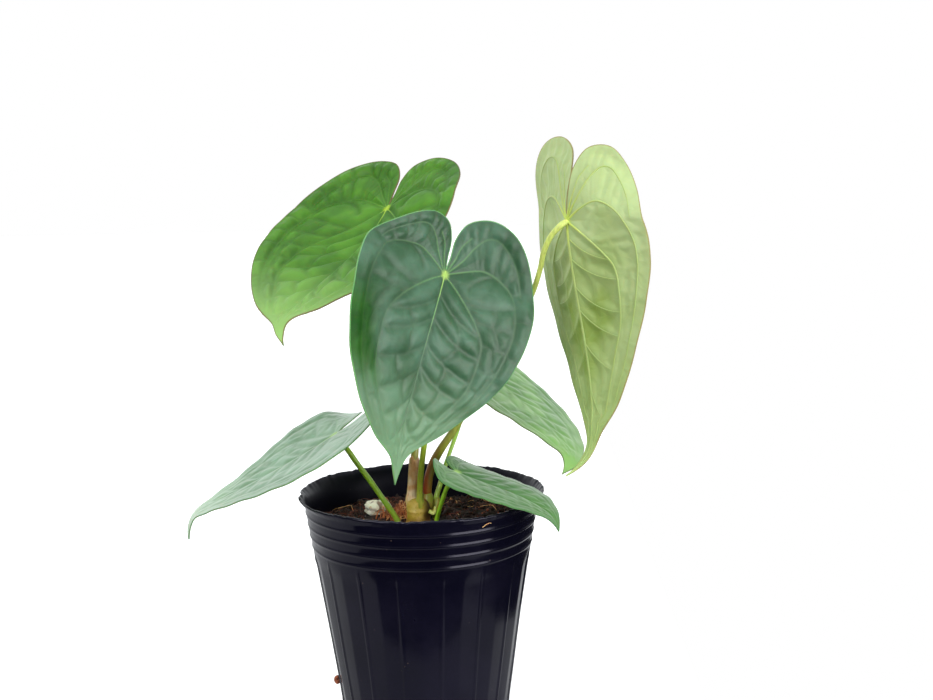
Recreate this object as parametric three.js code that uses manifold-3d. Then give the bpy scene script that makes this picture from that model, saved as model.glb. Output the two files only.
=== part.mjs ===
// Potted anthurium hybrid: six long-stalked heart-shaped leaves on a short stem,
// standing in potting mix in a soft black nursery pot.
// Millimetres, +Z up, origin at the middle of the pot's base, viewer on the -Y side.

import * as THREE from 'three';
import Module from 'manifold-3d';

const wasm = await Module();
wasm.setup();

const CLEARANCE = 0.3;

// Pot: thin plastic, rings under the rim, upright ribs below them.
const POT_HEIGHT = 115;
const RIM_RADIUS = 60;
const NECK_RADIUS = 56.8;
const BASE_RADIUS = 40;
const WALL = 0.9;
const FLOOR = 1.2;
const RING_DEPTHS = [7.5, 13, 18.5, 24];
const RING_RISE = 0.6;
const RIB_COUNT = 16;
const RIB_RISE = 0.7;
const RIB_HALF_ANGLE = 3.2;
const RIB_TOP = 84;
const DRAIN_HOLES = 6;
const DRAIN_RADIUS = 4;
const DRAIN_CIRCLE = 26;

// Potting mix and what lies on it.
const MIX_LEVEL = 99.5;
const MIX_HEAP = 3;
const CHIP_COUNT = 18;
const FIBRE_COUNT = 18;
const PUMICE_CENTRE = [-22.5, 19.5, 102.6];
const PUMICE_HALF_SIZE = [6.6, 4.6, 3.9];

// Stem.
const STEM_CENTRE = [-1.4, 0.2];
const STEM_RADIUS = 5.9;
const STEM_BOTTOM = 86;
const STEM_TOP = 112;
const SIDE_NODE = [6.6, 3.2, 103.2];
const SIDE_NODE_TOP = 107.3;

const BLADE_THICKNESS = 0.7;

// Each leaf: where the stalk meets the blade, how the blade is turned there, its length from
// that point to the tip, how it bends along and across the midrib (degrees), its outline as
// shares of a plain heart shape, and the stalk from the stem up to the blade.
const LEAVES = {
  leaf_front: {
    attach: [14.1, -27, 224.5],
    turn: { yaw: -116.5, pitch: 57.7, roll: -49.3 },
    length: 101.1,
    bend: { droop: 25.2, arch: -18, hook: 2.7, lobes: -19.5 },
    sway: { even: 1.2, growing: 8.6, tip: 6, lobes: -9.7 },
    twist: -12,
    outline: { belly: 0.01, taper: 1.08, sinus: 0.5, tip: 0.58 },
    left: { width: 1.14, lobe: 0.96, lobeWidth: 0.83, fold: 19.7, curl: -6.9, lobeFold: 1.7 },
    right: { width: 1.13, lobe: 1.01, lobeWidth: 0.91, fold: -0.8, curl: 7.3, lobeFold: 11.9 },
    fine: true,
    color: 0x3f6b48,
    stalk: [[-0.6, -3.4, 112.4], [-0.5, -3.8, 117], [0.4, -6, 127], [2, -9, 138], [4, -12.5, 151],
      [8.1, -18, 178], [12, -21, 206], [12.8, -22.6, 218]],
    stalkRadii: [1.7, 1.5, 1.45, 1.4, 1.4, 1.35, 1.35, 1.5],
  },
  leaf_upper_left: {
    attach: [-13.9, 32, 250.4],
    turn: { yaw: 245.1, pitch: 38.1, roll: 23.4 },
    length: 116.8,
    bend: { droop: -9.3, arch: 53.8, hook: 30.5, lobes: -5.7 },
    sway: { even: -4.9, growing: 4.7, tip: 25.9, lobes: -3 },
    twist: -11.9,
    outline: { belly: 0.03, taper: 1.04, sinus: 0.5, tip: 0.5 },
    left: { width: 1.11, lobe: 1.12, lobeWidth: 1.01, fold: 6.6, curl: 29.9, lobeFold: -0.9 },
    right: { width: 0.88, lobe: 0.97, lobeWidth: 1, fold: -5.3, curl: -3.2, lobeFold: -12.8 },
    fine: true,
    color: 0x7fae52,
    stalk: [[-4.6, 1.6, 112.4], [-4.3, 1.8, 116], [-3.5, 3, 125], [-2.6, 5, 134.7], [-2.5, 9, 149],
      [-4.2, 17, 177], [-7.5, 26, 211], [-10.2, 32, 235]],
    stalkRadii: [1.9, 1.9, 1.8, 1.5, 1.4, 1.35, 1.3, 1.3],
  },
  leaf_upper_right: {
    attach: [71.7, -20, 247.7],
    turn: { yaw: 25.6, pitch: 86.5, roll: 2.6 },
    length: 126.1,
    bend: { droop: 22.9, arch: 55, hook: 41.1, lobes: -31.5 },
    sway: { even: -22, growing: 10, tip: 11.6, lobes: -4.1 },
    twist: -8,
    outline: { belly: -0.1, taper: 0.99, sinus: 0.5, tip: 0.58 },
    left: { width: 0.81, lobe: 1.12, lobeWidth: 0.84, fold: 18.1, curl: 30, lobeFold: 25 },
    right: { width: 0.92, lobe: 1.01, lobeWidth: 1.09, fold: 8, curl: 4.1, lobeFold: -10.7 },
    fine: true,
    color: 0xa7c07c,
    stalk: [[3, 1.5, 112.4], [3.1, 1.6, 116.3], [4.1, 1.8, 122.7], [6.2, 2, 128.7], [10.2, 2, 135.7],
      [16.3, 1.5, 144.5], [29.8, 0, 167.2], [44.6, -4, 193], [54.8, -8.5, 211.3],
      [59, -12.5, 224.1], [60.8, -16, 233], [64, -19, 240.5]],
    stalkRadii: [1.9, 1.85, 1.75, 1.65, 1.6, 1.5, 1.4, 1.35, 1.3, 1.3, 1.3, 1.3],
  },
  leaf_lower_left: {
    attach: [-41.4, 0, 144.1],
    turn: { yaw: 191.6, pitch: 31.2, roll: -8.4 },
    length: 92.1,
    bend: { droop: 4.8, arch: 15.6, hook: 50, lobes: -11.3 },
    sway: { even: -21.4, growing: -1.4, tip: 45, lobes: -12 },
    twist: 0.6,
    outline: { belly: -0.01, taper: 0.74, sinus: 1.93, tip: 1.14 },
    left: { width: 1.01, lobe: 0.69, lobeWidth: 0.91, fold: -4.3, curl: 3.5, lobeFold: -23.7 },
    right: { width: 1.02, lobe: 0.99, lobeWidth: 1, fold: 9, curl: 2.6, lobeFold: 3.2 },
    fine: false,
    color: 0x9dbb9a,
    stalk: [[-10.6, 0, 89], [-10.8, 0, 96], [-12.4, 0, 101.6], [-17.7, -0.4, 110.2],
      [-24.2, -0.4, 120.4], [-30.8, 0, 129.9], [-36.2, 0.5, 137.8]],
    stalkRadii: [1.5, 1.5, 1.4, 1.35, 1.35, 1.35, 1.3],
  },
  leaf_lower_right: {
    attach: [17.9, -28, 130.9],
    turn: { yaw: -17.2, pitch: 22.2, roll: -3.5 },
    length: 58.2,
    bend: { droop: 22.1, arch: 60, hook: 28.1, lobes: -31.7 },
    sway: { even: -6.1, growing: -3.3, tip: 1.5, lobes: 12 },
    twist: 1.4,
    outline: { belly: 0.07, taper: 1.14, sinus: 2.07, tip: 1 },
    left: { width: 0.98, lobe: 0.63, lobeWidth: 0.89, fold: 0.3, curl: -4.5, lobeFold: 21.6 },
    right: { width: 1.08, lobe: 0.6, lobeWidth: 1.06, fold: 9.8, curl: -21.6, lobeFold: -2.3 },
    fine: false,
    color: 0x5c8f5a,
    stalk: [[6.2, -5.6, 89], [6.3, -5.8, 96], [7.4, -7, 102.4], [9, -10, 108.6],
      [10.9, -14, 115.1], [12.9, -19, 121.2], [15.6, -24.4, 126.4]],
    stalkRadii: [1.2, 1.2, 1.1, 1.05, 1.05, 1.05, 1.05],
  },
  leaf_rear: {
    attach: [31.4, 46, 167.3],
    turn: { yaw: -33.9, pitch: 34.6, roll: -9.9 },
    length: 87.7,
    bend: { droop: 8.4, arch: 31.9, hook: 34.6, lobes: -8 },
    sway: { even: -21.5, growing: -10, tip: -40, lobes: 0 },
    twist: -1.9,
    outline: { belly: 0.01, taper: 0.98, sinus: 1, tip: 0.91 },
    left: { width: 1.01, lobe: 1, lobeWidth: 1, fold: -7.6, curl: 9.1, lobeFold: 4 },
    right: { width: 0.97, lobe: 1, lobeWidth: 1, fold: 2.6, curl: -2.5, lobeFold: 4 },
    fine: false,
    color: 0x8fb98a,
    stalk: [[7, 3.6, 107.9], [7.6, 4.4, 112], [9.5, 6.5, 117.5], [11.3, 9, 123.4], [14.4, 13, 131.5],
      [18.1, 18, 140.4], [22.8, 27, 152.1], [26.4, 36, 160]],
    stalkRadii: [1.4, 1.3, 1.2, 1.1, 1, 1, 1, 1],
  },
};

// Half of a heart-shaped blade, in shares of its length: from the notch between the lobes,
// round the lobe and out to the tip.
const HALF_OUTLINE = [
  [-0.03, 0], [-0.09, 0.012], [-0.18, 0.022], [-0.26, 0.065], [-0.295, 0.155],
  [-0.26, 0.265], [-0.15, 0.355], [0.02, 0.415], [0.22, 0.42], [0.42, 0.365],
  [0.6, 0.265], [0.75, 0.155], [0.86, 0.075], [0.94, 0.028], [1, 0],
];
const LOBE_AT = 0.257;
const SHOULDER_AT = 0.5;
const ROWS = [LOBE_AT, 0.3, 0.35, 0.4, 0.45, SHOULDER_AT, 0.53, 0.56, 0.59, 0.62, 0.655, 0.69,
  0.725, 0.76, 0.795, 0.83, 0.865, 0.9, 0.95, 1];
const COLUMNS_FINE = [0, 0.16, 0.32, 0.48, 0.63, 0.75, 0.87, 1];
const COLUMNS_PLAIN = [0, 0.22, 0.43, 0.63, 0.82, 1];
const LATERAL_ROWS = [0.56, 0.62, 0.69, 0.76, 0.83, 0.9];
const COLLECTIVE_VEIN = 0.63;
const OUTER_VEIN = 0.87;
const VEIN_DEPTH = 0.014;
const VEIN_WIDTH = 0.04;
const EDGE_RIPPLE = 0.6;

const radians = (degrees) => degrees * Math.PI / 180;
const mix = (from, to, share) => from + (to - from) * share;

function smooth(value) {
  const share = Math.min(Math.max(value, 0), 1);
  return share * share * (3 - 2 * share);
}

function seeded(seed) {
  let state = seed;
  return () => {
    state = (state + 0x6d2b79f5) | 0;
    let mixed = Math.imul(state ^ (state >>> 15), 1 | state);
    mixed = (mixed + Math.imul(mixed ^ (mixed >>> 7), 61 | mixed)) ^ mixed;
    return ((mixed ^ (mixed >>> 14)) >>> 0) / 4294967296;
  };
}

// A closed body from points and triangles.
function solid(points, triangles) {
  const mesh = new wasm.Mesh({
    numProp: 3,
    vertProperties: new Float32Array(points.flatMap((point) => [point.x, point.y, point.z])),
    triVerts: new Uint32Array(triangles.flat()),
  });
  return new wasm.Manifold(mesh);
}

// A closed body from a stack of rings with the same number of points, capped at both ends.
// The rings run counter-clockwise seen from the last ring towards the first.
function ringStack(rings) {
  const count = rings[0].length;
  const points = rings.flat();
  const triangles = [];
  for (let row = 0; row + 1 < rings.length; row += 1) {
    for (let step = 0; step < count; step += 1) {
      const a = row * count + step;
      const b = row * count + (step + 1) % count;
      const c = b + count;
      const d = a + count;
      if ((row + step) % 2) triangles.push([a, b, c], [a, c, d]);
      else triangles.push([a, b, d], [b, c, d]);
    }
  }
  const middle = (ring) => ring.reduce((sum, point) => sum.add(point), new THREE.Vector3())
    .divideScalar(count);
  const last = (rings.length - 1) * count;
  points.push(middle(rings[0]), middle(rings[rings.length - 1]));
  for (let step = 0; step < count; step += 1) {
    const next = (step + 1) % count;
    triangles.push([next, step, points.length - 2]);
    triangles.push([last + step, last + next, points.length - 1]);
  }
  return solid(points, triangles);
}

// A round bar along a smooth curve through the given points.
function bar(points, radii, { sides = 8, extra = 0, steps = 2 } = {}) {
  const curve = new THREE.CatmullRomCurve3(points);
  const count = (points.length - 1) * steps;
  const side = new THREE.Vector3(1, 0, 0);
  const rings = [];
  for (let step = 0; step <= count; step += 1) {
    const share = step / count;
    const centre = curve.getPoint(share);
    const along = curve.getTangent(share);
    side.addScaledVector(along, -side.dot(along)).normalize();
    const up = along.clone().cross(side);
    const place = Math.min(share * (radii.length - 1), radii.length - 1.0001);
    const whole = Math.floor(place);
    const radius = mix(radii[whole], radii[whole + 1], place - whole) + extra;
    rings.push(Array.from({ length: sides }, (_, index) => {
      const angle = 2 * Math.PI * index / sides;
      return centre.clone().addScaledVector(side, radius * Math.cos(angle))
        .addScaledVector(up, radius * Math.sin(angle));
    }));
  }
  return ringStack(rings);
}

function part(name, body, color, roughness) {
  const { vertProperties, triVerts } = body.getMesh();
  const geometry = new THREE.BufferGeometry();
  geometry.setAttribute('position', new THREE.BufferAttribute(vertProperties, 3));
  geometry.setIndex(new THREE.BufferAttribute(triVerts, 1));
  geometry.computeVertexNormals();
  const material = new THREE.MeshStandardMaterial({ color, roughness, metalness: 0 });
  const mesh = new THREE.Mesh(geometry, material);
  mesh.name = name;
  return mesh;
}

// The bent surface of one leaf blade. x runs from the stalk to the tip, y out from the midrib.
class Blade {
  constructor(leaf) {
    this.leaf = leaf;
    const { yaw, pitch, roll } = leaf.turn;
    const turn = new THREE.Matrix4().makeRotationZ(radians(yaw))
      .multiply(new THREE.Matrix4().makeRotationY(radians(pitch)))
      .multiply(new THREE.Matrix4().makeRotationX(radians(roll)));
    const along = new THREE.Vector3();
    const across = new THREE.Vector3();
    const face = new THREE.Vector3();
    turn.extractBasis(along, across, face);
    this.stations = [];
    for (let index = 0; index <= 147; index += 1) {
      this.stations.push(this.directions(-0.45 + index * 0.01, along, across, face));
    }
    let point = new THREE.Vector3();
    this.stations.forEach((station, index) => {
      if (index) {
        const step = station.along.clone().add(this.stations[index - 1].along);
        point = point.clone().addScaledVector(step, 0.005 * leaf.length);
      }
      station.point = point;
    });
    const shift = new THREE.Vector3(...leaf.attach).sub(this.stations[45].point);
    this.stations.forEach((station) => { station.point = station.point.clone().add(shift); });
  }

  directions(share, along, across, face) {
    const { bend, sway, twist } = this.leaf;
    const out = Math.max(share, 0);
    const lobe = Math.max(-share, 0);
    const end = smooth((share - 0.78) / 0.22);
    const dip = radians(bend.droop * out + bend.arch * (out * out - out) + bend.hook * end
      - bend.lobes * lobe / 0.3);
    const swing = radians(sway.even * out + sway.growing * 2 * out * out + sway.tip * end
      - sway.lobes * smooth(lobe / 0.35));
    const forward = along.clone().multiplyScalar(Math.cos(dip) * Math.cos(swing))
      .addScaledVector(across, Math.cos(dip) * Math.sin(swing))
      .addScaledVector(face, -Math.sin(dip));
    const flat = along.clone().multiplyScalar(-Math.sin(swing))
      .addScaledVector(across, Math.cos(swing));
    const upper = forward.clone().cross(flat);
    const turn = radians(twist * out);
    return {
      along: forward,
      across: flat.clone().multiplyScalar(Math.cos(turn)).addScaledVector(upper, Math.sin(turn)),
      face: upper.clone().multiplyScalar(Math.cos(turn)).addScaledVector(flat, -Math.sin(turn)),
    };
  }

  station(x) {
    const place = Math.min(Math.max((x / this.leaf.length + 0.45) * 100, 0), 146.999);
    const whole = Math.floor(place);
    const from = this.stations[whole];
    const to = this.stations[whole + 1];
    return {
      point: from.point.clone().lerp(to.point, place - whole),
      across: from.across.clone().lerp(to.across, place - whole),
      face: from.face.clone().lerp(to.face, place - whole),
    };
  }

  place(x, y, height, side) {
    const half = side > 0 ? this.leaf.right : this.leaf.left;
    const lobe = smooth(-x / this.leaf.length / 0.3);
    const fold = radians(half.fold + half.lobeFold * lobe);
    const curl = radians(half.curl) / (0.43 * this.leaf.length);
    const width = Math.abs(y);
    const turn = curl * width / 2;
    const chord = Math.abs(turn) < 1e-6 ? 1 : Math.sin(turn) / turn;
    const { point, across, face } = this.station(x);
    const slope = fold + curl * width;
    return point
      .addScaledVector(across, side * width * Math.cos(fold + turn) * chord)
      .addScaledVector(face, width * Math.sin(fold + turn) * chord)
      .addScaledVector(face, height * Math.cos(slope))
      .addScaledVector(across, -side * height * Math.sin(slope));
  }

  margin(side) {
    const { outline, length } = this.leaf;
    const half = side > 0 ? this.leaf.right : this.leaf.left;
    const corners = HALF_OUTLINE.map(([x, y], index) => {
      let reach = y * half.width * (1 + (half.lobeWidth - 1) * smooth(-x / 0.3));
      if (x > 0.2) reach *= 1 + (outline.taper - 1) * smooth((x - 0.2) / 0.45);
      if (x > 0.8) reach *= outline.tip;
      if (index === 1 || index === 2) reach *= outline.sinus;
      if (index === 3) reach *= 1 + (outline.sinus - 1) * 0.35;
      const stretch = index ? half.lobe : 1;
      const along = x < 0 ? x * stretch : x + outline.belly * Math.sin(Math.PI * x);
      return new THREE.Vector3(along, reach, 0);
    });
    const curve = new THREE.CatmullRomCurve3(corners);
    return (share) => curve.getPoint(share).multiplyScalar(length);
  }
}

function crossing(margin, length, row, column) {
  const root = row < SHOULDER_AT ? 0 : (row - SHOULDER_AT) / (1 - SHOULDER_AT) * length;
  const edge = margin(row);
  return new THREE.Vector2(mix(root, edge.x, column), edge.y * column);
}

// Sunk veins of one half blade: lines from the stalk, side veins and the two long veins that
// collect them along the edge.
function veins(margin, length) {
  const at = (row, column) => crossing(margin, length, row, column);
  const lines = [];
  lines.push([at(SHOULDER_AT, 0), at(SHOULDER_AT, 0.35), at(SHOULDER_AT, 0.62)]);
  lines.push([at(0.4, 0), at(0.4, 0.5), at(0.4, 0.85)]);
  lines.push([at(LOBE_AT, 0), at(LOBE_AT, 0.75)]);
  const collective = [];
  const outer = [];
  for (let row = SHOULDER_AT; row < 0.98; row += 0.04) collective.push(at(row, COLLECTIVE_VEIN));
  for (let row = 0.4; row < 0.98; row += 0.04) outer.push(at(row, OUTER_VEIN));
  lines.push(collective, outer);
  LATERAL_ROWS.forEach((row) => lines.push([at(row, 0), at(row, COLLECTIVE_VEIN)]));
  lines.push([new THREE.Vector2(-0.03 * length, 0), new THREE.Vector2(length, 0)]);
  return lines;
}

function distanceTo(lines, x, y) {
  let nearest = Infinity;
  lines.forEach((line) => {
    for (let index = 0; index + 1 < line.length; index += 1) {
      const start = line[index];
      const run = line[index + 1].clone().sub(start);
      const share = ((x - start.x) * run.x + (y - start.y) * run.y) / run.lengthSq();
      const held = Math.min(Math.max(share, 0), 1);
      nearest = Math.min(nearest, Math.hypot(x - start.x - run.x * held, y - start.y - run.y * held));
    }
  });
  return nearest;
}

// The middle surface of a blade as shared points and triangles, and the loop of its edge.
function bladeSheet(leaf) {
  const blade = new Blade(leaf);
  const { length } = leaf;
  const columns = leaf.fine ? COLUMNS_FINE : COLUMNS_PLAIN;
  const depths = leaf.fine ? 3 : 2;
  const points = [];
  const known = new Map();
  const triangles = [];
  const loops = [];

  [1, -1].forEach((side) => {
    const margin = blade.margin(side);
    const lines = veins(margin, length);
    const add = (x, y, along, column) => {
      const key = `${Math.round(x * 1000)} ${side * Math.round(y * 1000) || 0}`;
      if (known.has(key)) return known.get(key);
      const fromVein = distanceTo(lines, x, y) / (VEIN_WIDTH * length);
      const relief = VEIN_DEPTH * length * (1 - Math.exp(-fromVein * fromVein));
      const ripple = EDGE_RIPPLE * smooth((column - 0.6) / 0.4) * Math.sin(14 * Math.PI * along);
      const fade = smooth((1 - along) / 0.1) * smooth(along / 0.1);
      points.push(blade.place(x, y, relief + ripple * fade, side));
      known.set(key, points.length - 1);
      return points.length - 1;
    };
    const addQuad = (a, b, c, d, flip) => {
      const split = flip ? [[a, b, d], [b, c, d]] : [[a, b, c], [a, c, d]];
      split.forEach(([i, j, k]) => {
        if (i === j || j === k || k === i) return;
        triangles.push(side > 0 ? [i, j, k] : [i, k, j]);
      });
    };
    const grid = ROWS.map((row) => columns.map((column) => {
      const point = crossing(margin, length, row, column);
      return add(point.x, point.y, row, column);
    }));
    for (let row = 0; row + 1 < grid.length; row += 1) {
      for (let column = 0; column + 1 < columns.length; column += 1) {
        addQuad(grid[row][column], grid[row + 1][column], grid[row + 1][column + 1],
          grid[row][column + 1], (row + column) % 2);
      }
    }
    const lobeEnd = margin(LOBE_AT);
    const inner = columns.map((column) => Array.from({ length: depths + 1 }, (_, index) => {
      const share = index / depths;
      const edge = margin(LOBE_AT * column);
      return add(mix(column * lobeEnd.x, edge.x, share), mix(column * lobeEnd.y, edge.y, share),
        LOBE_AT * column, share);
    }));
    for (let row = 0; row + 1 < inner.length; row += 1) {
      for (let index = 0; index < depths; index += 1) {
        addQuad(inner[row][index], inner[row + 1][index], inner[row + 1][index + 1],
          inner[row][index + 1], (row + index) % 2);
      }
    }
    loops.push([...inner.map((row) => row[depths]), ...grid.slice(1).map((row) => row.at(-1))]);
  });
  const edge = [...loops[0], ...loops[1].slice(1, -1).reverse()];
  return { points, triangles, edge };
}

// The blade with its thickness: the same triangles on both faces, joined round the edge.
function bladeBody(leaf) {
  const { points, triangles, edge } = bladeSheet(leaf);
  const normals = points.map(() => new THREE.Vector3());
  triangles.forEach(([a, b, c]) => {
    const normal = points[b].clone().sub(points[a]).cross(points[c].clone().sub(points[a]));
    [a, b, c].forEach((index) => normals[index].add(normal));
  });
  normals.forEach((normal) => normal.normalize());
  const half = BLADE_THICKNESS / 2;
  const count = points.length;
  const both = [
    ...points.map((point, index) => point.clone().addScaledVector(normals[index], half)),
    ...points.map((point, index) => point.clone().addScaledVector(normals[index], -half)),
  ];
  const faces = [...triangles, ...triangles.map(([a, b, c]) => [a + count, c + count, b + count])];
  edge.forEach((a, index) => {
    const b = edge[(index + 1) % edge.length];
    faces.push([a, b, a + count], [b, b + count, a + count]);
  });
  return solid(both, faces);
}

function stalkPoints(leaf) {
  const { point, face } = new Blade(leaf).station(0);
  face.normalize();
  return [
    ...leaf.stalk.map((place) => new THREE.Vector3(...place)),
    point.clone().addScaledVector(face, -5),
    point.clone().addScaledVector(face, 0.2),
  ];
}

function leafBody(leaf) {
  const stalk = bar(stalkPoints(leaf), [...leaf.stalkRadii, 1.5, 1.3]);
  return bladeBody(leaf).add(stalk);
}

// Pot radius at a height, without rings and ribs.
function potRadius(height) {
  return mix(BASE_RADIUS, NECK_RADIUS, height / (POT_HEIGHT - 3.5));
}

const POT_ANGLES = Array.from({ length: RIB_COUNT }, (_, index) => index * 360 / RIB_COUNT + 11.25)
  .flatMap((angle) => [angle - RIB_HALF_ANGLE, angle, angle + RIB_HALF_ANGLE]);

function potRing(height, radiusAt, lift = () => 0) {
  return POT_ANGLES.map((degrees, index) => {
    const angle = radians(degrees);
    const radius = radiusAt(angle, index % 3 === 1);
    return new THREE.Vector3(radius * Math.cos(angle), radius * Math.sin(angle),
      height + lift(angle));
  });
}

// The soft rim turns out, least at the front, and has one crease at the left.
function rimFlare(angle) {
  const crease = Math.exp(-(((angle - Math.PI) / 0.07) ** 2));
  return (RIM_RADIUS - NECK_RADIUS) * (1 - 0.3 * smooth(-Math.sin(angle))) - 1.4 * crease;
}

function rimLift(angle) {
  return 0.25 * Math.sin(3 * angle + 1) + 0.2 * Math.sin(8 * angle);
}

function pot() {
  const rings = [];
  rings.push(potRing(0, () => BASE_RADIUS - 1.4));
  rings.push(potRing(0.5, () => BASE_RADIUS - 0.4));
  rings.push(potRing(1.6, () => potRadius(1.6)));
  const ribbed = (height, share) => potRing(height,
    (angle, onRib) => potRadius(height) + (onRib ? RIB_RISE * share : 0));
  rings.push(ribbed(5, 0), ribbed(9, 1), ribbed(44, 1), ribbed(RIB_TOP - 3, 1), ribbed(RIB_TOP, 0));
  [...RING_DEPTHS].reverse().forEach((depth) => {
    const height = POT_HEIGHT - depth;
    [[-1.5, 0], [0, 1], [1.5, 0]].forEach(([step, share]) => {
      rings.push(potRing(height + step, () => potRadius(height + step) + RING_RISE * share));
    });
  });
  rings.push(potRing(POT_HEIGHT - 3.6, () => NECK_RADIUS));
  rings.push(potRing(POT_HEIGHT - 1.2, (angle) => NECK_RADIUS + 0.8 * rimFlare(angle)));
  rings.push(potRing(POT_HEIGHT, (angle) => NECK_RADIUS + rimFlare(angle), rimLift));
  rings.push(potRing(POT_HEIGHT + 0.1, (angle) => NECK_RADIUS + rimFlare(angle) - WALL, rimLift));
  rings.push(potRing(POT_HEIGHT - 1.8, (angle) => NECK_RADIUS + 0.6 * rimFlare(angle) - WALL));
  rings.push(potRing(POT_HEIGHT - 4, () => NECK_RADIUS - WALL));
  [92, 46].forEach((height) => rings.push(potRing(height, () => potRadius(height) - WALL)));
  rings.push(potRing(FLOOR + 1, () => potRadius(FLOOR + 1) - WALL));
  rings.push(potRing(FLOOR, () => potRadius(FLOOR) - WALL - 1));
  let body = ringStack(rings);
  for (let hole = 0; hole < DRAIN_HOLES; hole += 1) {
    const angle = 2 * Math.PI * hole / DRAIN_HOLES;
    const drill = wasm.Manifold.cylinder(4, DRAIN_RADIUS, DRAIN_RADIUS, 12)
      .translate([DRAIN_CIRCLE * Math.cos(angle), DRAIN_CIRCLE * Math.sin(angle), -1]);
    body = body.subtract(drill);
  }
  return body;
}

function mixHeight(x, y) {
  const bumps = 0.7 * Math.sin(x * 0.31 + 1) * Math.cos(y * 0.27) + 0.5 * Math.sin(x * 0.5 - y * 0.4);
  const heap = MIX_HEAP * Math.exp(-((x - 27) ** 2 + (y - 14) ** 2) / 300);
  return MIX_LEVEL + bumps + heap;
}

function mixBody() {
  const inset = WALL + CLEARANCE;
  const rings = [];
  rings.push(potRing(FLOOR + CLEARANCE, () => potRadius(FLOOR) - inset - 1.2));
  rings.push(potRing(FLOOR + 1, () => potRadius(FLOOR + 1) - inset - 0.1));
  rings.push(potRing(46, () => potRadius(46) - inset));
  rings.push(potRing(92, () => potRadius(92) - inset));
  rings.push(potRing(97, () => potRadius(97) - inset));
  [49, 38, 27, 17, 9].forEach((radius) => {
    rings.push(potRing(0, () => radius).map((point) => {
      point.z = mixHeight(point.x, point.y);
      return point;
    }));
  });
  return ringStack(rings);
}

// A chip of bark: a rough box half sunk in the mix.
function chip(random) {
  const angle = random() * 2 * Math.PI;
  const reach = 12 + 38 * Math.sqrt(random());
  const x = reach * Math.cos(angle);
  const y = reach * Math.sin(angle);
  const size = [3 + 4 * random(), 2 + 2.5 * random(), 1.6 + 1.4 * random()];
  return wasm.Manifold.cube(size, true)
    .rotate([random() * 50 - 25, random() * 50 - 25, random() * 360])
    .translate([x, y, mixHeight(x, y) + 0.3]);
}

// A strand of fibre: an arch whose two ends are sunk in the mix.
function fibre(random, near) {
  const angle = near ? 1.6 + 1.7 * random() : random() * 2 * Math.PI;
  const reach = near ? 11 + 9 * random() : 14 + 32 * Math.sqrt(random());
  const x = reach * Math.cos(angle);
  const y = reach * Math.sin(angle);
  const heading = random() * 2 * Math.PI;
  const span = 4 + 5 * random();
  const rise = near ? 3 + 5 * random() : 1.2 + 2 * random();
  const ends = [-1, -0.35, 0.4, 1].map((share) => {
    const px = x + span * share * Math.cos(heading) + (random() - 0.5) * 2;
    const py = y + span * share * Math.sin(heading) + (random() - 0.5) * 2;
    const lift = Math.abs(share) === 1 ? -2 : rise * (0.7 + 0.5 * random());
    return new THREE.Vector3(px, py, mixHeight(px, py) + lift);
  });
  return bar(ends, [0.55, 0.5, 0.45, 0.45], { sides: 3, steps: 2 });
}

function stem(extra = 0) {
  const profile = [[STEM_BOTTOM, 4.6], [92, 5.3], [98, 5.7], [100, 6.2], [101.4, 5.6], [104.6, 5.8],
    [106, 6.3], [107.4, 5.7], [110, 5.6], [111.4, 5.3], [STEM_TOP, 4.7]];
  const sides = 18;
  const rings = profile.map(([height, radius], row) => Array.from({ length: sides }, (_, index) => {
    const angle = 2 * Math.PI * index / sides;
    const rough = 0.25 * Math.sin(3 * angle + row * 1.3) + 0.15 * Math.sin(5 * angle - row);
    const reach = radius * STEM_RADIUS / 5.9 + (row && row < profile.length - 1 ? rough : 0) + extra;
    const end = row ? 0 : -extra;
    return new THREE.Vector3(STEM_CENTRE[0] + reach * Math.cos(angle),
      STEM_CENTRE[1] + reach * Math.sin(angle), height + end);
  }));
  const trunk = ringStack(rings);
  const [x, y, z] = SIDE_NODE;
  const bud = wasm.Manifold.sphere(1, 14).scale([3 + extra, 2.6 + extra, 6.5 + extra])
    .rotate([0, 12, 0]).translate([x, y, z]);
  const flat = wasm.Manifold.cube([20, 20, 20], true).translate([x, y, SIDE_NODE_TOP + 10]);
  const root = bar([[3, -2, 106], [6.2, -3.4, 105], [6.8, -4, 108.4]]
    .map((place) => new THREE.Vector3(...place)), [1, 1, 0.45].map((radius) => radius + extra), { sides: 6 });
  return trunk.add(extra ? bud : bud.subtract(flat)).add(root);
}

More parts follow.
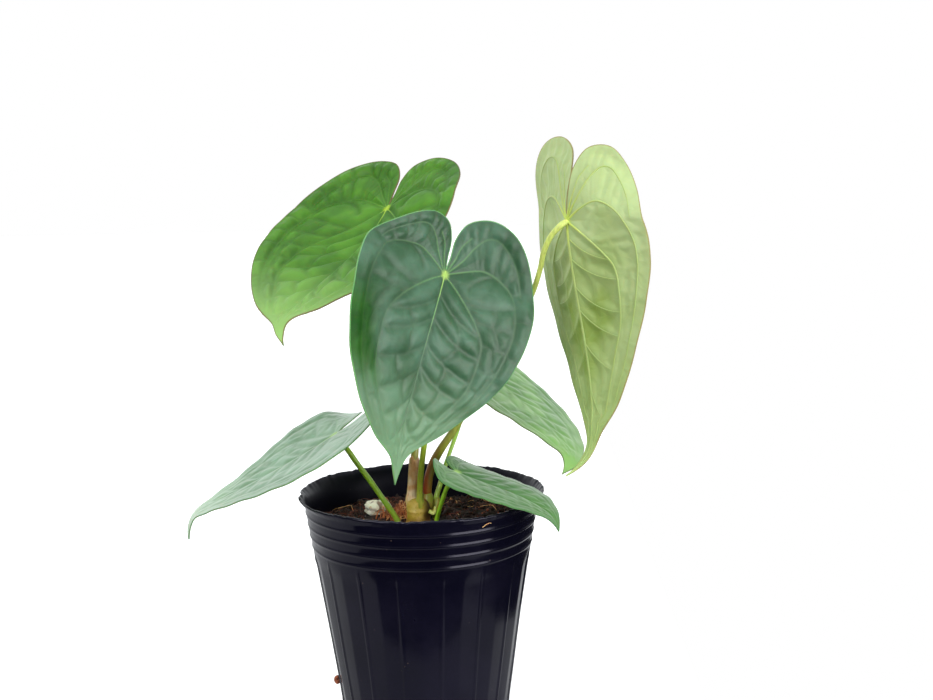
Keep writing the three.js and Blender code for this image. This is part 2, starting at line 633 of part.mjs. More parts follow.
// The dry sheath: a thin torn sleeve open towards the back, round the foot of one stalk.
function sheath() {
  const leaf = LEAVES.leaf_upper_left;
  const curve = new THREE.CatmullRomCurve3(stalkPoints(leaf));
  const steps = 12;
  const heights = 6;
  const inner = [];
  const outer = [];
  for (let row = 0; row <= heights; row += 1) {
    for (let step = 0; step <= steps; step += 1) {
      const share = step / steps;
      const angle = radians(-235 + 245 * share);
      const torn = 14 + 4.5 * Math.sin(Math.PI * share) + 1.6 * Math.sin(17 * share);
      const climb = torn * row / heights;
      const along = curve.getPoint((climb + 0.1) / 175);
      const radius = 1.95 + CLEARANCE + 0.15 * Math.sin(9 * share + row) + 0.5 * (1 - row / heights);
      [[inner, radius], [outer, radius + 0.7]].forEach(([list, reach]) => {
        list.push(new THREE.Vector3(along.x + reach * Math.cos(angle),
          along.y + reach * Math.sin(angle), STEM_TOP + CLEARANCE + climb));
      });
    }
  }
  const points = [...outer, ...inner];
  const shift = outer.length;
  const width = steps + 1;
  const triangles = [];
  const quad = (a, b, c, d) => triangles.push([a, b, c], [a, c, d]);
  for (let row = 0; row < heights; row += 1) {
    for (let step = 0; step < steps; step += 1) {
      const a = row * width + step;
      quad(a, a + 1, a + 1 + width, a + width);
      quad(a + shift, a + width + shift, a + 1 + width + shift, a + 1 + shift);
    }
    const left = row * width;
    const right = left + steps;
    quad(left, left + width, left + width + shift, left + shift);
    quad(right, right + shift, right + width + shift, right + width);
  }
  for (let step = 0; step < steps; step += 1) {
    const low = step;
    const high = heights * width + step;
    quad(low, low + shift, low + 1 + shift, low + 1);
    quad(high, high + 1, high + 1 + shift, high + shift);
  }
  return solid(points, triangles);
}

function pumice(extra = 0) {
  const ball = wasm.Manifold.sphere(1, 20);
  return ball.warp((point) => {
    const [x, y, z] = point;
    const lump = 1 + 0.13 * Math.sin(4 * x + 1) * Math.cos(3 * y) + 0.1 * Math.sin(5 * z + 2 * x)
      - 0.14 * Math.exp(-((x - 0.15) ** 2) / 0.03);
    point[0] = x * lump * PUMICE_HALF_SIZE[0] + x * extra;
    point[1] = y * lump * PUMICE_HALF_SIZE[1] + y * extra;
    point[2] = z * lump * PUMICE_HALF_SIZE[2] + z * extra;
  }).rotate([4, -6, 14]).translate(PUMICE_CENTRE);
}

function pottingMix() {
  const random = seeded(31);
  let body = mixBody();
  const loose = [];
  for (let index = 0; index < CHIP_COUNT; index += 1) loose.push(chip(random));
  for (let index = 0; index < FIBRE_COUNT; index += 1) loose.push(fibre(random, index % 2));
  body = wasm.Manifold.union([body, ...loose]);
  const holes = [stem(CLEARANCE), pumice(CLEARANCE + 0.05)];
  [LEAVES.leaf_lower_left, LEAVES.leaf_lower_right].forEach((leaf) => {
    const points = stalkPoints(leaf);
    points.unshift(points[0].clone().setZ(points[0].z - 0.6));
    const radii = [leaf.stalkRadii[0], ...leaf.stalkRadii, 1.5, 1.3];
    holes.push(bar(points, radii, { extra: CLEARANCE + 0.1 }));
  });
  [LEAVES.leaf_front, LEAVES.leaf_upper_left, LEAVES.leaf_upper_right, LEAVES.leaf_rear]
    .forEach((leaf) => {
      const radii = [...leaf.stalkRadii, 1.5, 1.3].map((radius) => radius + 1.2);
      holes.push(bar(stalkPoints(leaf), radii, { sides: 6, steps: 1 }));
    });
  body = body.subtract(wasm.Manifold.union(holes));
  return body.decompose().sort((one, other) => other.volume() - one.volume())[0];
}

const plant = new THREE.Group();
plant.name = 'potted_anthurium';
plant.add(part('pot', pot(), 0x14151c, 0.25));
plant.add(part('potting_mix', pottingMix(), 0x5a3220, 0.95));
plant.add(part('pumice_stone', pumice(), 0xded4c0, 0.9));
plant.add(part('stem', stem(), 0x7d6a1e, 0.6));
plant.add(part('dry_sheath', sheath(), 0xcfa98a, 0.8));
Object.entries(LEAVES).forEach(([name, leaf]) => {
  plant.add(part(name, leafBody(leaf), leaf.color, 0.35));
});

export default plant;
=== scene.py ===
# %% [markdown]
# # A potted anthurium hybrid
# The plant has six heart-shaped leaves on long stalks, a short stem and a dry sheath. It grows in
# bark and coir in a soft black nursery pot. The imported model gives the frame: every piece made
# here takes the place of one of its solids, in the same metres and the same axes.

# %% Load the frame
import math
import random

import bmesh
import bpy
import numpy as np
from mathutils import Matrix, Vector, noise


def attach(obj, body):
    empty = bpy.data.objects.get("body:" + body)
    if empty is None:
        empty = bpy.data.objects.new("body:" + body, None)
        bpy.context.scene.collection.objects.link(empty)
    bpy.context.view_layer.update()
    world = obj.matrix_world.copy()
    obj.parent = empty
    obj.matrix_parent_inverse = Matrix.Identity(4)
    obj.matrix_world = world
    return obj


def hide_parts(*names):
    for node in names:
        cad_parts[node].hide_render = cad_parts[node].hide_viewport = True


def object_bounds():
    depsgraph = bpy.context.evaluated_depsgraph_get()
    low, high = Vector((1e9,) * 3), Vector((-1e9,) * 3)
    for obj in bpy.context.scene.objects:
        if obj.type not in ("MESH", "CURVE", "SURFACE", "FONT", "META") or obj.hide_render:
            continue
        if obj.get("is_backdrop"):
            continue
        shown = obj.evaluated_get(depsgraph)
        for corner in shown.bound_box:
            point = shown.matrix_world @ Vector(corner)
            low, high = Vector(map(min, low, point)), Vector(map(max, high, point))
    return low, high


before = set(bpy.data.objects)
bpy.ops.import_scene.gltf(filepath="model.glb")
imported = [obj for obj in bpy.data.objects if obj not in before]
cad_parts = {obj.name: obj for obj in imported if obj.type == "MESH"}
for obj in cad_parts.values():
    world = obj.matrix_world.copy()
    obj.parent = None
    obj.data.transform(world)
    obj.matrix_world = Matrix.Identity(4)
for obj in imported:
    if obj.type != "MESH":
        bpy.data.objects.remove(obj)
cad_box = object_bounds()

MM = 0.001
scene = bpy.context.scene
print("solids in the frame:", sorted(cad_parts))

# %% [markdown]
# The camera stands a little above the pot and looks slightly down. Its place was worked out from
# the pot: the rim is a circle of known size, so the shape of its ellipse gives the angle.

# %% Camera
CAMERA_AT = Vector((23.637, -861.024, 330.779)) * MM
PITCH = math.radians(9.64)
ROLL = math.radians(-1.2)

camera_data = bpy.data.cameras.new("camera")
camera_data.lens = 70
camera_data.sensor_width = 36
camera = bpy.data.objects.new("camera", camera_data)
camera.matrix_world = (Matrix.Translation(CAMERA_AT) @ Matrix.Rotation(math.pi / 2 - PITCH, 4, "X")
                       @ Matrix.Rotation(ROLL, 4, "Z"))
scene.collection.objects.link(camera)
scene.camera = camera
print("camera at", [round(value, 3) for value in CAMERA_AT])

# %% [markdown]
# The surround and all materials are built from shader nodes. To keep that short, each method of
# this helper adds one node and gives back its output for the next one. An input is a number or
# the output of another node. Colours of three numbers are as on screen, 0 to 255.

# %% Node helpers
def linear(value):
    """One screen value, 0 to 255, as the linear number that nodes use."""
    share = value / 255
    return share / 12.92 if share <= 0.04045 else ((share + 0.055) / 1.055) ** 2.4


def darker(colour, share):
    return tuple(int(value * share) for value in colour)


class Nodes:
    """Adds nodes to one tree."""

    def __init__(self, tree):
        self.tree = tree

    def feed(self, socket, value):
        """Links an output to a socket, or sets the socket's value."""
        if isinstance(value, bpy.types.NodeSocket):
            self.tree.links.new(value, socket)
        elif socket.type == "RGBA" and len(value) == 3:
            socket.default_value = (*map(linear, value), 1)
        else:
            socket.default_value = value

    def put(self, kind, *inputs, out=0, **settings):
        """A node with its inputs in order, or by name as its settings are."""
        made = self.tree.nodes.new("ShaderNode" + kind)
        for key, value in settings.items():
            if hasattr(made, key):
                setattr(made, key, value)
            else:
                self.feed(made.inputs[key.replace("_", " ")], value)
        for socket, value in zip(made.inputs, inputs):
            self.feed(socket, value)
        return made.outputs if out is None else made.outputs[out]

    def mix(self, factor, first, second, blend="MIX"):
        """A mix of two colours."""
        made = self.tree.nodes.new("ShaderNodeMix")
        made.data_type, made.blend_type, made.clamp_factor = "RGBA", blend, True
        for index, value in ((0, factor), (6, first), (7, second)):
            self.feed(made.inputs[index], value)
        return made.outputs[2]

    def ease(self, value, low, high, to_low=0.0, to_high=1.0):
        """Maps a value to a new range, with soft ends."""
        return self.put("MapRange", value, low, high, to_low, to_high, interpolation_type="SMOOTHSTEP")

    def maths(self, operation, *values):
        return self.put("Math", *values, operation=operation)

    def times(self, product, *factors):
        for factor in factors:
            product = self.maths("MULTIPLY", product, factor)
        return product

    def fact(self, name, out="Fac"):
        """A value that is kept on the points of the mesh."""
        return self.put("Attribute", attribute_name=name, out=out)

    def here(self, out="Object"):
        return self.put("TexCoord", out=out)

    def axis(self, vector, name):
        return self.put("SeparateXYZ", vector, out=name)

    def noise(self, scale, detail=2.0, roughness=0.5, at=None, out=0):
        """Clouds, in the space of the piece unless told otherwise."""
        place = self.here() if at is None else at
        return self.put("TexNoise", place, Scale=scale, Detail=detail, Roughness=roughness, out=out)

    def streaks(self, stretch, detail):
        """Clouds drawn out upwards."""
        return self.noise(1.0, detail, at=self.put("Mapping", self.here(), Scale=stretch))

    def cells(self, scale, at=None, feature="F1", out=0):
        """Cells, with the distance to their middles or edges."""
        place = self.here() if at is None else at
        return self.put("TexVoronoi", place, feature=feature, Scale=scale, out=out)


class Paint(Nodes):
    """A material with one Principled shader."""

    def __init__(self, name, roughness, scatter=0.0, **sockets):
        self.made = bpy.data.materials.new(name)
        self.made.use_nodes = True
        super().__init__(self.made.node_tree)
        self.set(Roughness=roughness, Subsurface_Weight=scatter, Subsurface_Scale=0.002, **sockets)

    def set(self, **sockets):
        """Sets or links sockets of the shader."""
        shader = self.tree.nodes["Principled BSDF"]
        for name, value in sockets.items():
            self.feed(shader.inputs[name.replace("_", " ")], value)

    def relief(self, strength, distance, height):
        """Low bumps from a height."""
        self.set(Normal=self.put("Bump", Strength=strength, Distance=distance, Height=height))


print("node helpers ready")

# %% [markdown]
# The light is a bright studio. A white wall behind gives the flat leaves their pale gloss, and a
# soft ceiling lights them from above. Below the table's edge it is dark, so that the pot stays
# black. A large soft panel stands at the right, a weaker one at the left and a faint one above,
# and a narrow spot brings out the mix and the stem.

# %% Surround and lights
scene.view_settings.view_transform = "Standard"
scene.view_settings.look = "None"
scene.world = bpy.data.worlds.new("studio")
scene.world.use_nodes = True
scene.world.node_tree.nodes.clear()
air = Nodes(scene.world.node_tree)
way = air.here("Generated")
outward, upward = air.axis(way, "Y"), air.axis(way, "Z")
sky = air.maths("ADD", air.ease(upward, -0.1, 0.15, 0.02, 0.5), air.ease(upward, 0.55, 0.95, 0.0, 1.1))
back_wall = air.times(air.ease(outward, 0.4, 0.75, 0.0, 1.7), air.ease(upward, -0.2, 0.0),
                      air.ease(upward, 0.35, 0.6, 1.0, 0.3))
surround = air.put("Background", (0.95, 0.98, 1.0, 1), air.maths("MAXIMUM", sky, back_wall))
backdrop = air.put("Background", (1, 1, 1, 1))
seen = air.put("LightPath", out="Is Camera Ray")
air.put("OutputWorld", air.put("MixShader", seen, surround, backdrop), out=None)


def light(name, kind, power, place, aim, **settings):
    """A light that looks at a point."""
    data = bpy.data.lights.new(name, kind)
    data.energy = power
    for key, value in settings.items():
        setattr(data, key, value)
    made = bpy.data.objects.new(name, data)
    turn = (Vector(aim) - Vector(place)).to_track_quat("-Z", "Y")
    made.matrix_world = Matrix.Translation(place) @ turn.to_matrix().to_4x4()
    scene.collection.objects.link(made)


for name, power, place, aim, width, height in (
        ("panel_right", 20, (1.02, -0.86, 0.16), (0.02, 0, 0.2), 1.0, 0.8),
        ("panel_left", 9, (-0.85, -0.8, 0.66), (0, 0, 0.12), 0.7, 0.7),
        ("panel_top", 2, (0.1, -0.75, 1.3), (0, 0, 0.1), 0.7, 0.7)):
    light(name, "AREA", power, place, aim, shape="RECTANGLE", size=width, size_y=height)
light("spot_on_the_mix", "SPOT", 30, (-0.14, -1.05, 0.68), (-0.008, 0.01, 0.107),
      spot_size=math.radians(7.5), spot_blend=0.7, shadow_soft_size=0.08)
print("lights:", len(bpy.data.lights))

# %% [markdown]
# The floor is a plain pale table top. It ends close in front of the pot, and the rays that the
# pot mirrors see it darker than it is, so that the black plastic is not filled with its white.

# %% Table top
TABLE_LEFT, TABLE_RIGHT, TABLE_FRONT, TABLE_BACK = -1.6, 0.14, -0.112, 2.4
table_work = bmesh.new()
bmesh.ops.create_grid(table_work, x_segments=1, y_segments=1, size=1.0)
for corner in table_work.verts:
    corner.co = Vector((TABLE_LEFT if corner.co.x < 0 else TABLE_RIGHT,
                        TABLE_FRONT if corner.co.y < 0 else TABLE_BACK, 0))
table_mesh = bpy.data.meshes.new("table_top")
table_work.to_mesh(table_mesh)
table_work.free()
table = bpy.data.objects.new("table_top", table_mesh)
scene.collection.objects.link(table)
paint = Paint("table_paint", 0.55, Emission_Color=(1, 1, 1, 1))
pale = paint.mix(paint.noise(60, 4), (246, 246, 246), (252, 252, 252))
mirrored = paint.put("LightPath", out="Is Glossy Ray")
paint.set(Base_Color=paint.mix(paint.times(mirrored, 0.6), pale, (0.1, 0.1, 0.12, 1)),
          Emission_Strength=paint.maths("MULTIPLY_ADD", mirrored, -0.22, 0.35))
table_mesh.materials.append(paint.made)
table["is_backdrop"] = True
print("table top", [round(value, 2) for value in table.dimensions])

# %% [markdown]
# Leaves, stalks, stem and sheath are all sheets or tubes that follow a curve. So one helper is
# used for them: it lays out a flat grid with a bmesh operator, then moves every point of the
# grid to its place on the real surface. Numbers that belong to a point, such as how far it is
# from a vein, are kept on the mesh for the materials.

# %% Grid helper
def smoothstep(value):
    share = np.clip(value, 0.0, 1.0)
    return share * share * (3 - 2 * share)


def rows_at(places, marks, rows):
    """Rows of a table of vectors, read between its marks."""
    return np.stack([np.interp(places, marks, column) for column in rows.T], 1)


def upright_ring(x, y, radius, angle, height):
    """Points round an upright axis."""
    return np.stack([x + radius * np.cos(angle), y + radius * np.sin(angle), height], 1)


def add_grid(work, rows, columns, place, turn_over=False):
    """Adds a grid whose points are moved to place(row share, column share), in millimetres."""
    before = len(work.verts)
    bmesh.ops.create_grid(work, x_segments=rows, y_segments=columns, size=0.5)
    shares = np.array([(vert.co.x + 0.5, vert.co.y + 0.5) for vert in list(work.verts)[before:]])
    points, facts = place(shares[:, 0], shares[:, 1])
    layers = []
    for name, values in facts.items():
        kept = work.verts.layers.float_vector if values.ndim == 2 else work.verts.layers.float
        layers.append((kept.get(name) or kept.new(name), values))
    made = list(work.verts)[before:]
    for index, (vert, point) in enumerate(zip(made, points * MM)):
        vert.co = point
        for layer, values in layers:
            vert[layer] = values[index]
    if turn_over:
        bmesh.ops.reverse_faces(work, faces=list({face for vert in made for face in vert.link_faces}))


def close_up(work, gap=0.005):
    """Welds the points that meet, closes open ends and turns the faces outward."""
    bmesh.ops.remove_doubles(work, verts=work.verts, dist=gap * MM)
    bmesh.ops.holes_fill(work, edges=work.edges, sides=0)
    bmesh.ops.recalc_face_normals(work, faces=work.faces)


def finish_piece(work, name, nodes, materials, weld=0.01 * MM):
    """Welds the points that meet, and makes the piece an object that rides on the frame."""
    if weld:
        bmesh.ops.remove_doubles(work, verts=work.verts, dist=weld)
    for face in work.faces:
        face.smooth = True
    mesh = bpy.data.meshes.new(name)
    work.to_mesh(mesh)
    work.free()
    for paint in materials:
        mesh.materials.append(paint)
    piece = bpy.data.objects.new(name, mesh)
    scene.collection.objects.link(piece)
    if nodes:
        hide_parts(*nodes)
    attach(piece, "root")
    print(f"{name}: {len(mesh.polygons)} faces")
    return piece


def through(points, shares):
    """Points on the smooth curve through the given points, centripetal Catmull-Rom."""
    points = np.asarray(points, float)
    ends = np.vstack([2 * points[0] - points[1], points, 2 * points[-1] - points[-2]])
    place = np.clip(np.asarray(shares, float) * (len(points) - 1), 0, len(points) - 1)
    first = np.minimum(place.astype(int), len(points) - 2)
    share = (place - first)[:, None]
    a, b, c, d = (ends[first + step] for step in range(4))
    before, within, after = (np.maximum(((q - p) ** 2).sum(1, keepdims=True) ** 0.25, 1e-4)
                             for p, q in ((a, b), (b, c), (c, d)))
    slope_b = ((b - a) / before - (c - a) / (before + within) + (c - b) / within) * within
    slope_c = ((c - b) / within - (d - b) / (within + after) + (d - c) / after) * within
    curve = 2 * (b - c) + slope_b + slope_c
    bend = 3 * (c - b) - 2 * slope_b - slope_c
    return ((curve * share + bend) * share + slope_b) * share + b


TUBE_STATIONS = 241


def tube_place(points, radii, grooves=None):
    """A place function for a round tube along a curve."""
    shares = np.linspace(0, 1, TUBE_STATIONS)
    line = through(points, shares)
    run = np.gradient(line, axis=0)
    run /= np.linalg.norm(run, axis=1, keepdims=True)
    side = np.zeros_like(run)
    reference = np.array([1.0, 0.0, 0.0])
    for index, along in enumerate(run):
        reference = reference - along * reference.dot(along)
        reference /= np.linalg.norm(reference)
        side[index] = reference
    up = np.cross(run, side)
    radius_at = np.interp(shares, np.linspace(0, 1, len(radii)), radii)

    def place(along, turn):
        angle = 2 * np.pi * turn
        radius = np.interp(along, shares, radius_at)
        if grooves is not None:
            radius = radius * grooves(along, angle)
        middle, beside, above = (rows_at(along, shares, rows) for rows in (line, side, up))
        spot = (middle + (radius * np.cos(angle))[:, None] * beside
                + (radius * np.sin(angle))[:, None] * above)
        return spot, {"along": along, "turn": turn}
    return place


print("grid helper ready")

# %% [markdown]
# ## The leaf form
# Each blade is a plain heart shape that is bent along its midrib, folded and curled on each side
# of it, and turned to the way the leaf hangs. The same named values make the solids, so the fine
# blades lie where the solids lie.

# %% Leaf values
LEAVES = {
    "leaf_front": dict(
        attach=(14.1, -27, 224.5), turn=(-116.5, 57.7, -49.3), length=101.1,
        bend=dict(droop=25.2, arch=-18, hook=2.7, lobes=-19.5),
        sway=dict(even=1.2, growing=8.6, tip=6, lobes=-9.7), twist=-12,
        outline=dict(belly=0.01, taper=1.08, sinus=0.5, tip=0.58), relief=0.9,
        left=dict(width=1.14, lobe=0.96, lobe_width=0.83, fold=19.7, curl=-6.9, lobe_fold=1.7),
        right=dict(width=1.13, lobe=1.01, lobe_width=0.91, fold=-0.8, curl=7.3, lobe_fold=11.9),
        stalk=[(-0.6, -3.4, 112.4), (-0.5, -3.8, 117), (0.4, -6, 127), (2, -9, 138), (4, -12.5, 151),
               (8.1, -18, 178), (12, -21, 206), (12.8, -22.6, 218)],
        stalk_radii=[1.7, 1.5, 1.45, 1.4, 1.4, 1.35, 1.35, 1.5],
    ),
    "leaf_upper_left": dict(
        attach=(-13.9, 32, 250.4), turn=(245.1, 38.1, 23.4), length=116.8,
        bend=dict(droop=-9.3, arch=53.8, hook=30.5, lobes=-5.7),
        sway=dict(even=-4.9, growing=4.7, tip=25.9, lobes=-3), twist=-11.9,
        outline=dict(belly=0.03, taper=1.04, sinus=0.5, tip=0.5), relief=1.5,
        left=dict(width=1.11, lobe=1.12, lobe_width=1.01, fold=6.6, curl=29.9, lobe_fold=-0.9),
        right=dict(width=0.88, lobe=0.97, lobe_width=1, fold=-5.3, curl=-3.2, lobe_fold=-12.8),
        stalk=[(-4.6, 1.6, 112.4), (-4.3, 1.8, 116), (-3.5, 3, 125), (-2.6, 5, 134.7), (-2.5, 9, 149),
               (-4.2, 17, 177), (-7.5, 26, 211), (-10.2, 32, 235)],
        stalk_radii=[1.9, 1.95, 1.95, 1.9, 1.75, 1.5, 1.35, 1.3],
    ),
    "leaf_upper_right": dict(
        attach=(71.7, -20, 247.7), turn=(25.6, 86.5, 2.6), length=126.1,
        bend=dict(droop=22.9, arch=55, hook=41.1, lobes=-31.5),
        sway=dict(even=-22, growing=10, tip=11.6, lobes=-4.1), twist=-8,
        outline=dict(belly=-0.1, taper=0.99, sinus=0.1, tip=0.58), relief=0.75,
        left=dict(width=0.81, lobe=1.12, lobe_width=0.84, fold=18.1, curl=30, lobe_fold=25),
        right=dict(width=0.92, lobe=1.01, lobe_width=1.09, fold=8, curl=4.1, lobe_fold=-10.7),
        stalk=[(3, 1.5, 112.4), (3.1, 1.6, 116.3), (4.1, 1.8, 122.7), (6.2, 2, 128.7), (10.2, 2, 135.7),
               (16.3, 1.5, 144.5), (29.8, 0, 167.2), (44.6, -4, 193), (54.8, -8.5, 211.3),
               (59, -12.5, 224.1), (60.8, -16, 233), (64, -19, 240.5)],
        stalk_radii=[2.0, 2.1, 2.15, 2.1, 2.0, 1.85, 1.6, 1.4, 1.3, 1.3, 1.35, 1.3],
    ),
    "leaf_lower_left": dict(
        attach=(-41.4, 0, 144.1), turn=(191.6, 31.2, -8.4), length=92.1,
        bend=dict(droop=4.8, arch=15.6, hook=50, lobes=-11.3),
        sway=dict(even=-21.4, growing=-1.4, tip=45, lobes=-12), twist=0.6,
        outline=dict(belly=-0.01, taper=0.74, sinus=1.93, tip=1.14), relief=0.4,
        left=dict(width=1.01, lobe=0.69, lobe_width=0.91, fold=-4.3, curl=3.5, lobe_fold=-23.7),
        right=dict(width=1.02, lobe=0.99, lobe_width=1, fold=9, curl=2.6, lobe_fold=3.2),
        stalk=[(-10.6, 0, 89), (-10.8, 0, 96), (-12.4, 0, 101.6), (-17.7, -0.4, 110.2),
               (-24.2, -0.4, 120.4), (-30.8, 0, 129.9), (-36.2, 0.5, 137.8)],
        stalk_radii=[1.5, 1.5, 1.4, 1.35, 1.35, 1.35, 1.3],
    ),
    "leaf_lower_right": dict(
        attach=(17.9, -28, 130.9), turn=(-17.2, 22.2, -3.5), length=58.2,
        bend=dict(droop=22.1, arch=60, hook=28.1, lobes=-31.7),
        sway=dict(even=-6.1, growing=-3.3, tip=1.5, lobes=12), twist=1.4,
        outline=dict(belly=0.07, taper=1.14, sinus=2.07, tip=1), relief=0.5,
        left=dict(width=0.98, lobe=0.63, lobe_width=0.89, fold=0.3, curl=-4.5, lobe_fold=21.6),
        right=dict(width=1.08, lobe=0.6, lobe_width=1.06, fold=9.8, curl=-21.6, lobe_fold=-2.3),
        stalk=[(6.2, -5.6, 89), (6.3, -5.8, 96), (7.4, -7, 102.4), (9, -10, 108.6),
               (10.9, -14, 115.1), (12.9, -19, 121.2), (15.6, -24.4, 126.4)],
        stalk_radii=[1.2, 1.2, 1.1, 1.05, 1.05, 1.05, 1.05],
    ),
    "leaf_rear": dict(
        attach=(31.4, 46, 167.3), turn=(-33.9, 34.6, -9.9), length=87.7,
        bend=dict(droop=8.4, arch=31.9, hook=34.6, lobes=-8),
        sway=dict(even=-21.5, growing=-10, tip=-40, lobes=0), twist=-1.9,
        outline=dict(belly=0.01, taper=0.98, sinus=1, tip=0.91), relief=0.5,
        left=dict(width=1.01, lobe=1, lobe_width=1, fold=-7.6, curl=9.1, lobe_fold=4),
        right=dict(width=0.97, lobe=1, lobe_width=1, fold=2.6, curl=-2.5, lobe_fold=4),
        stalk=[(7, 3.6, 107.9), (7.6, 4.4, 112), (9.5, 6.5, 117.5), (11.3, 9, 123.4), (14.4, 13, 131.5),
               (18.1, 18, 140.4), (22.8, 27, 152.1), (26.4, 36, 160)],
        stalk_radii=[1.4, 1.3, 1.2, 1.1, 1, 1, 1, 1],
    ),
}
HALF_OUTLINE = [
    (-0.03, 0), (-0.09, 0.012), (-0.18, 0.022), (-0.26, 0.065), (-0.295, 0.155),
    (-0.26, 0.265), (-0.15, 0.355), (0.02, 0.415), (0.22, 0.42), (0.42, 0.365),
    (0.6, 0.265), (0.75, 0.155), (0.86, 0.075), (0.94, 0.028), (1, 0),
]
LOBE_AT = 0.257
SHOULDER_AT = 0.5
print("leaves:", ", ".join(LEAVES))

# %% [markdown]
# The bent midrib comes first. Its direction is turned down, sideways and about itself little by
# little, and the steps are added up. A point of the flat heart is then placed from the nearest
# point of the midrib, along the fold and curl of its side.

# %% Bent blade
STATIONS_BEFORE, STATIONS_AFTER, STATION_STEP = 45, 102, 0.01
CURL_WIDTH = 0.43


class Blade:
    """The bent surface of one leaf. x runs from the stalk to the tip, y out from the midrib."""

    def __init__(self, leaf):
        self.leaf = leaf
        self.length = leaf["length"]
        yaw, pitch, roll = (math.radians(angle) for angle in leaf["turn"])
        turn = np.array(Matrix.Rotation(yaw, 3, "Z") @ Matrix.Rotation(pitch, 3, "Y")
                        @ Matrix.Rotation(roll, 3, "X"))
        along, across, face = turn.T
        self.share = np.arange(-STATIONS_BEFORE, STATIONS_AFTER + 1) * STATION_STEP
        out = np.maximum(self.share, 0)
        lobe = np.maximum(-self.share, 0)
        end = smoothstep((self.share - 0.78) / 0.22)
        bend, sway = leaf["bend"], leaf["sway"]
        dip = np.radians(bend["droop"] * out + bend["arch"] * (out * out - out) + bend["hook"] * end
                         - bend["lobes"] * lobe / 0.3)[:, None]
        swing = np.radians(sway["even"] * out + sway["growing"] * 2 * out * out + sway["tip"] * end
                           - sway["lobes"] * smoothstep(lobe / 0.35))[:, None]
        forward = (np.cos(dip) * np.cos(swing) * along + np.cos(dip) * np.sin(swing) * across
                   - np.sin(dip) * face)
        flat = -np.sin(swing) * along + np.cos(swing) * across
        upper = np.cross(forward, flat)
        twist = np.radians(leaf["twist"] * out)[:, None]
        self.across = np.cos(twist) * flat + np.sin(twist) * upper
        self.face = np.cos(twist) * upper - np.sin(twist) * flat
        steps = (forward[1:] + forward[:-1]) / 2 * STATION_STEP * self.length
        line = np.vstack([np.zeros(3), np.cumsum(steps, axis=0)])
        self.line = line - line[STATIONS_BEFORE] + np.array(leaf["attach"], float)

    def station(self, x):
        """Point of the midrib at x, and the directions across the blade and off its face."""
        return [rows_at(x / self.length, self.share, rows) for rows in (self.line, self.across, self.face)]

    def half(self, side):
        return self.leaf["right" if side > 0 else "left"]

    def place(self, x, y, height, side):
        """Where the flat point x, y of one half comes to lie, raised by height off the face."""
        half = self.half(side)
        lobe = smoothstep(-x / self.length / 0.3)
        fold = np.radians(half["fold"] + half["lobe_fold"] * lobe)
        curl = math.radians(half["curl"]) / (CURL_WIDTH * self.length)
        turn = curl * y / 2
        chord = np.sinc(turn / np.pi)
        line, across, face = self.station(x)
        slope = fold + curl * y
        return (line + across * (side * y * np.cos(fold + turn) * chord)[:, None]
                + face * (y * np.sin(fold + turn) * chord)[:, None]
                + face * (height * np.cos(slope))[:, None]
                - across * (side * height * np.sin(slope))[:, None])

    def flat(self, x, y, side):
        """A point of the plain heart shape, stretched as this half of this leaf is."""
        half, outline = self.half(side), self.leaf["outline"]
        x, y = np.asarray(x, float), np.asarray(y, float)
        reach = y * half["width"] * (1 + (half["lobe_width"] - 1) * smoothstep(-x / 0.3))
        reach = reach * np.where(x > 0.2, 1 + (outline["taper"] - 1) * smoothstep((x - 0.2) / 0.45), 1)
        reach = reach * np.where(x > 0.8, outline["tip"], 1)
        belly = outline["belly"] * np.sin(np.pi * np.clip(x, 0, 1))
        return np.where(x < 0, x * half["lobe"], x + belly), reach

    def margin(self, side):
        """The edge of one half as a function of a share from the notch to the tip."""
        corners = np.array(HALF_OUTLINE)
        along, reach = self.flat(corners[:, 0], corners[:, 1], side)
        sinus = self.leaf["outline"]["sinus"]
        along[0] = corners[0, 0]
        reach[1:3] *= sinus
        reach[3] *= 1 + (sinus - 1) * 0.35
        return lambda share: through(np.stack([along, reach], 1), share) * self.length


blades = {name: Blade(leaf) for name, leaf in LEAVES.items()}
print("front blade tip at", blades["leaf_front"].line[-3].round(1))

# %% [markdown]
# ## Veins
# A midrib and three to four long veins fan out from the stalk on each side. Two of them turn and
# run to the tip beside the edge. Side veins leave the midrib and join the inner of these, and
# short ones cross from there to the edge. They are drawn once on the plain heart shape, and each
# leaf stretches them as it stretches its outline.

# %% Vein lines
VEIN_ONE = [(0, 0), (0.055, 0.072), (0.16, 0.178), (0.25, 0.236), (0.36, 0.24), (0.5, 0.215),
            (0.62, 0.152), (0.755, 0.088), (0.87, 0.036), (0.95, 0.012), (1, 0)]
VEIN_TWO = [(0, 0), (-0.042, 0.073), (-0.077, 0.157), (-0.065, 0.23), (-0.015, 0.305), (0.1, 0.35),
            (0.216, 0.357), (0.36, 0.33), (0.5, 0.277), (0.62, 0.212), (0.755, 0.128), (0.87, 0.056),
            (0.95, 0.018)]
VEIN_THREE = [(0, 0), (-0.09, 0.062), (-0.165, 0.105), (-0.21, 0.15), (-0.215, 0.2), (-0.17, 0.265),
              (-0.1, 0.315), (-0.02, 0.345)]
VEIN_FOUR = [(0, 0), (-0.09, 0.03), (-0.15, 0.045), (-0.2, 0.08)]
SIDE_STARTS = (0.1, 0.21, 0.32, 0.44, 0.57, 0.69, 0.79, 0.88)
SIDE_RUN = 0.13
CROSS_STARTS = (0.03, 0.13, 0.24, 0.35, 0.46, 0.57, 0.68, 0.79)
LOBE_CROSSINGS = [((-0.05, 0.12), (-0.13, 0.09)), ((-0.075, 0.17), (-0.19, 0.135)),
                  ((-0.06, 0.235), (-0.2, 0.22)), ((0.02, 0.12), (-0.06, 0.2))]
RIM_SHARE, RIM_LEAN = 0.985, 0.012


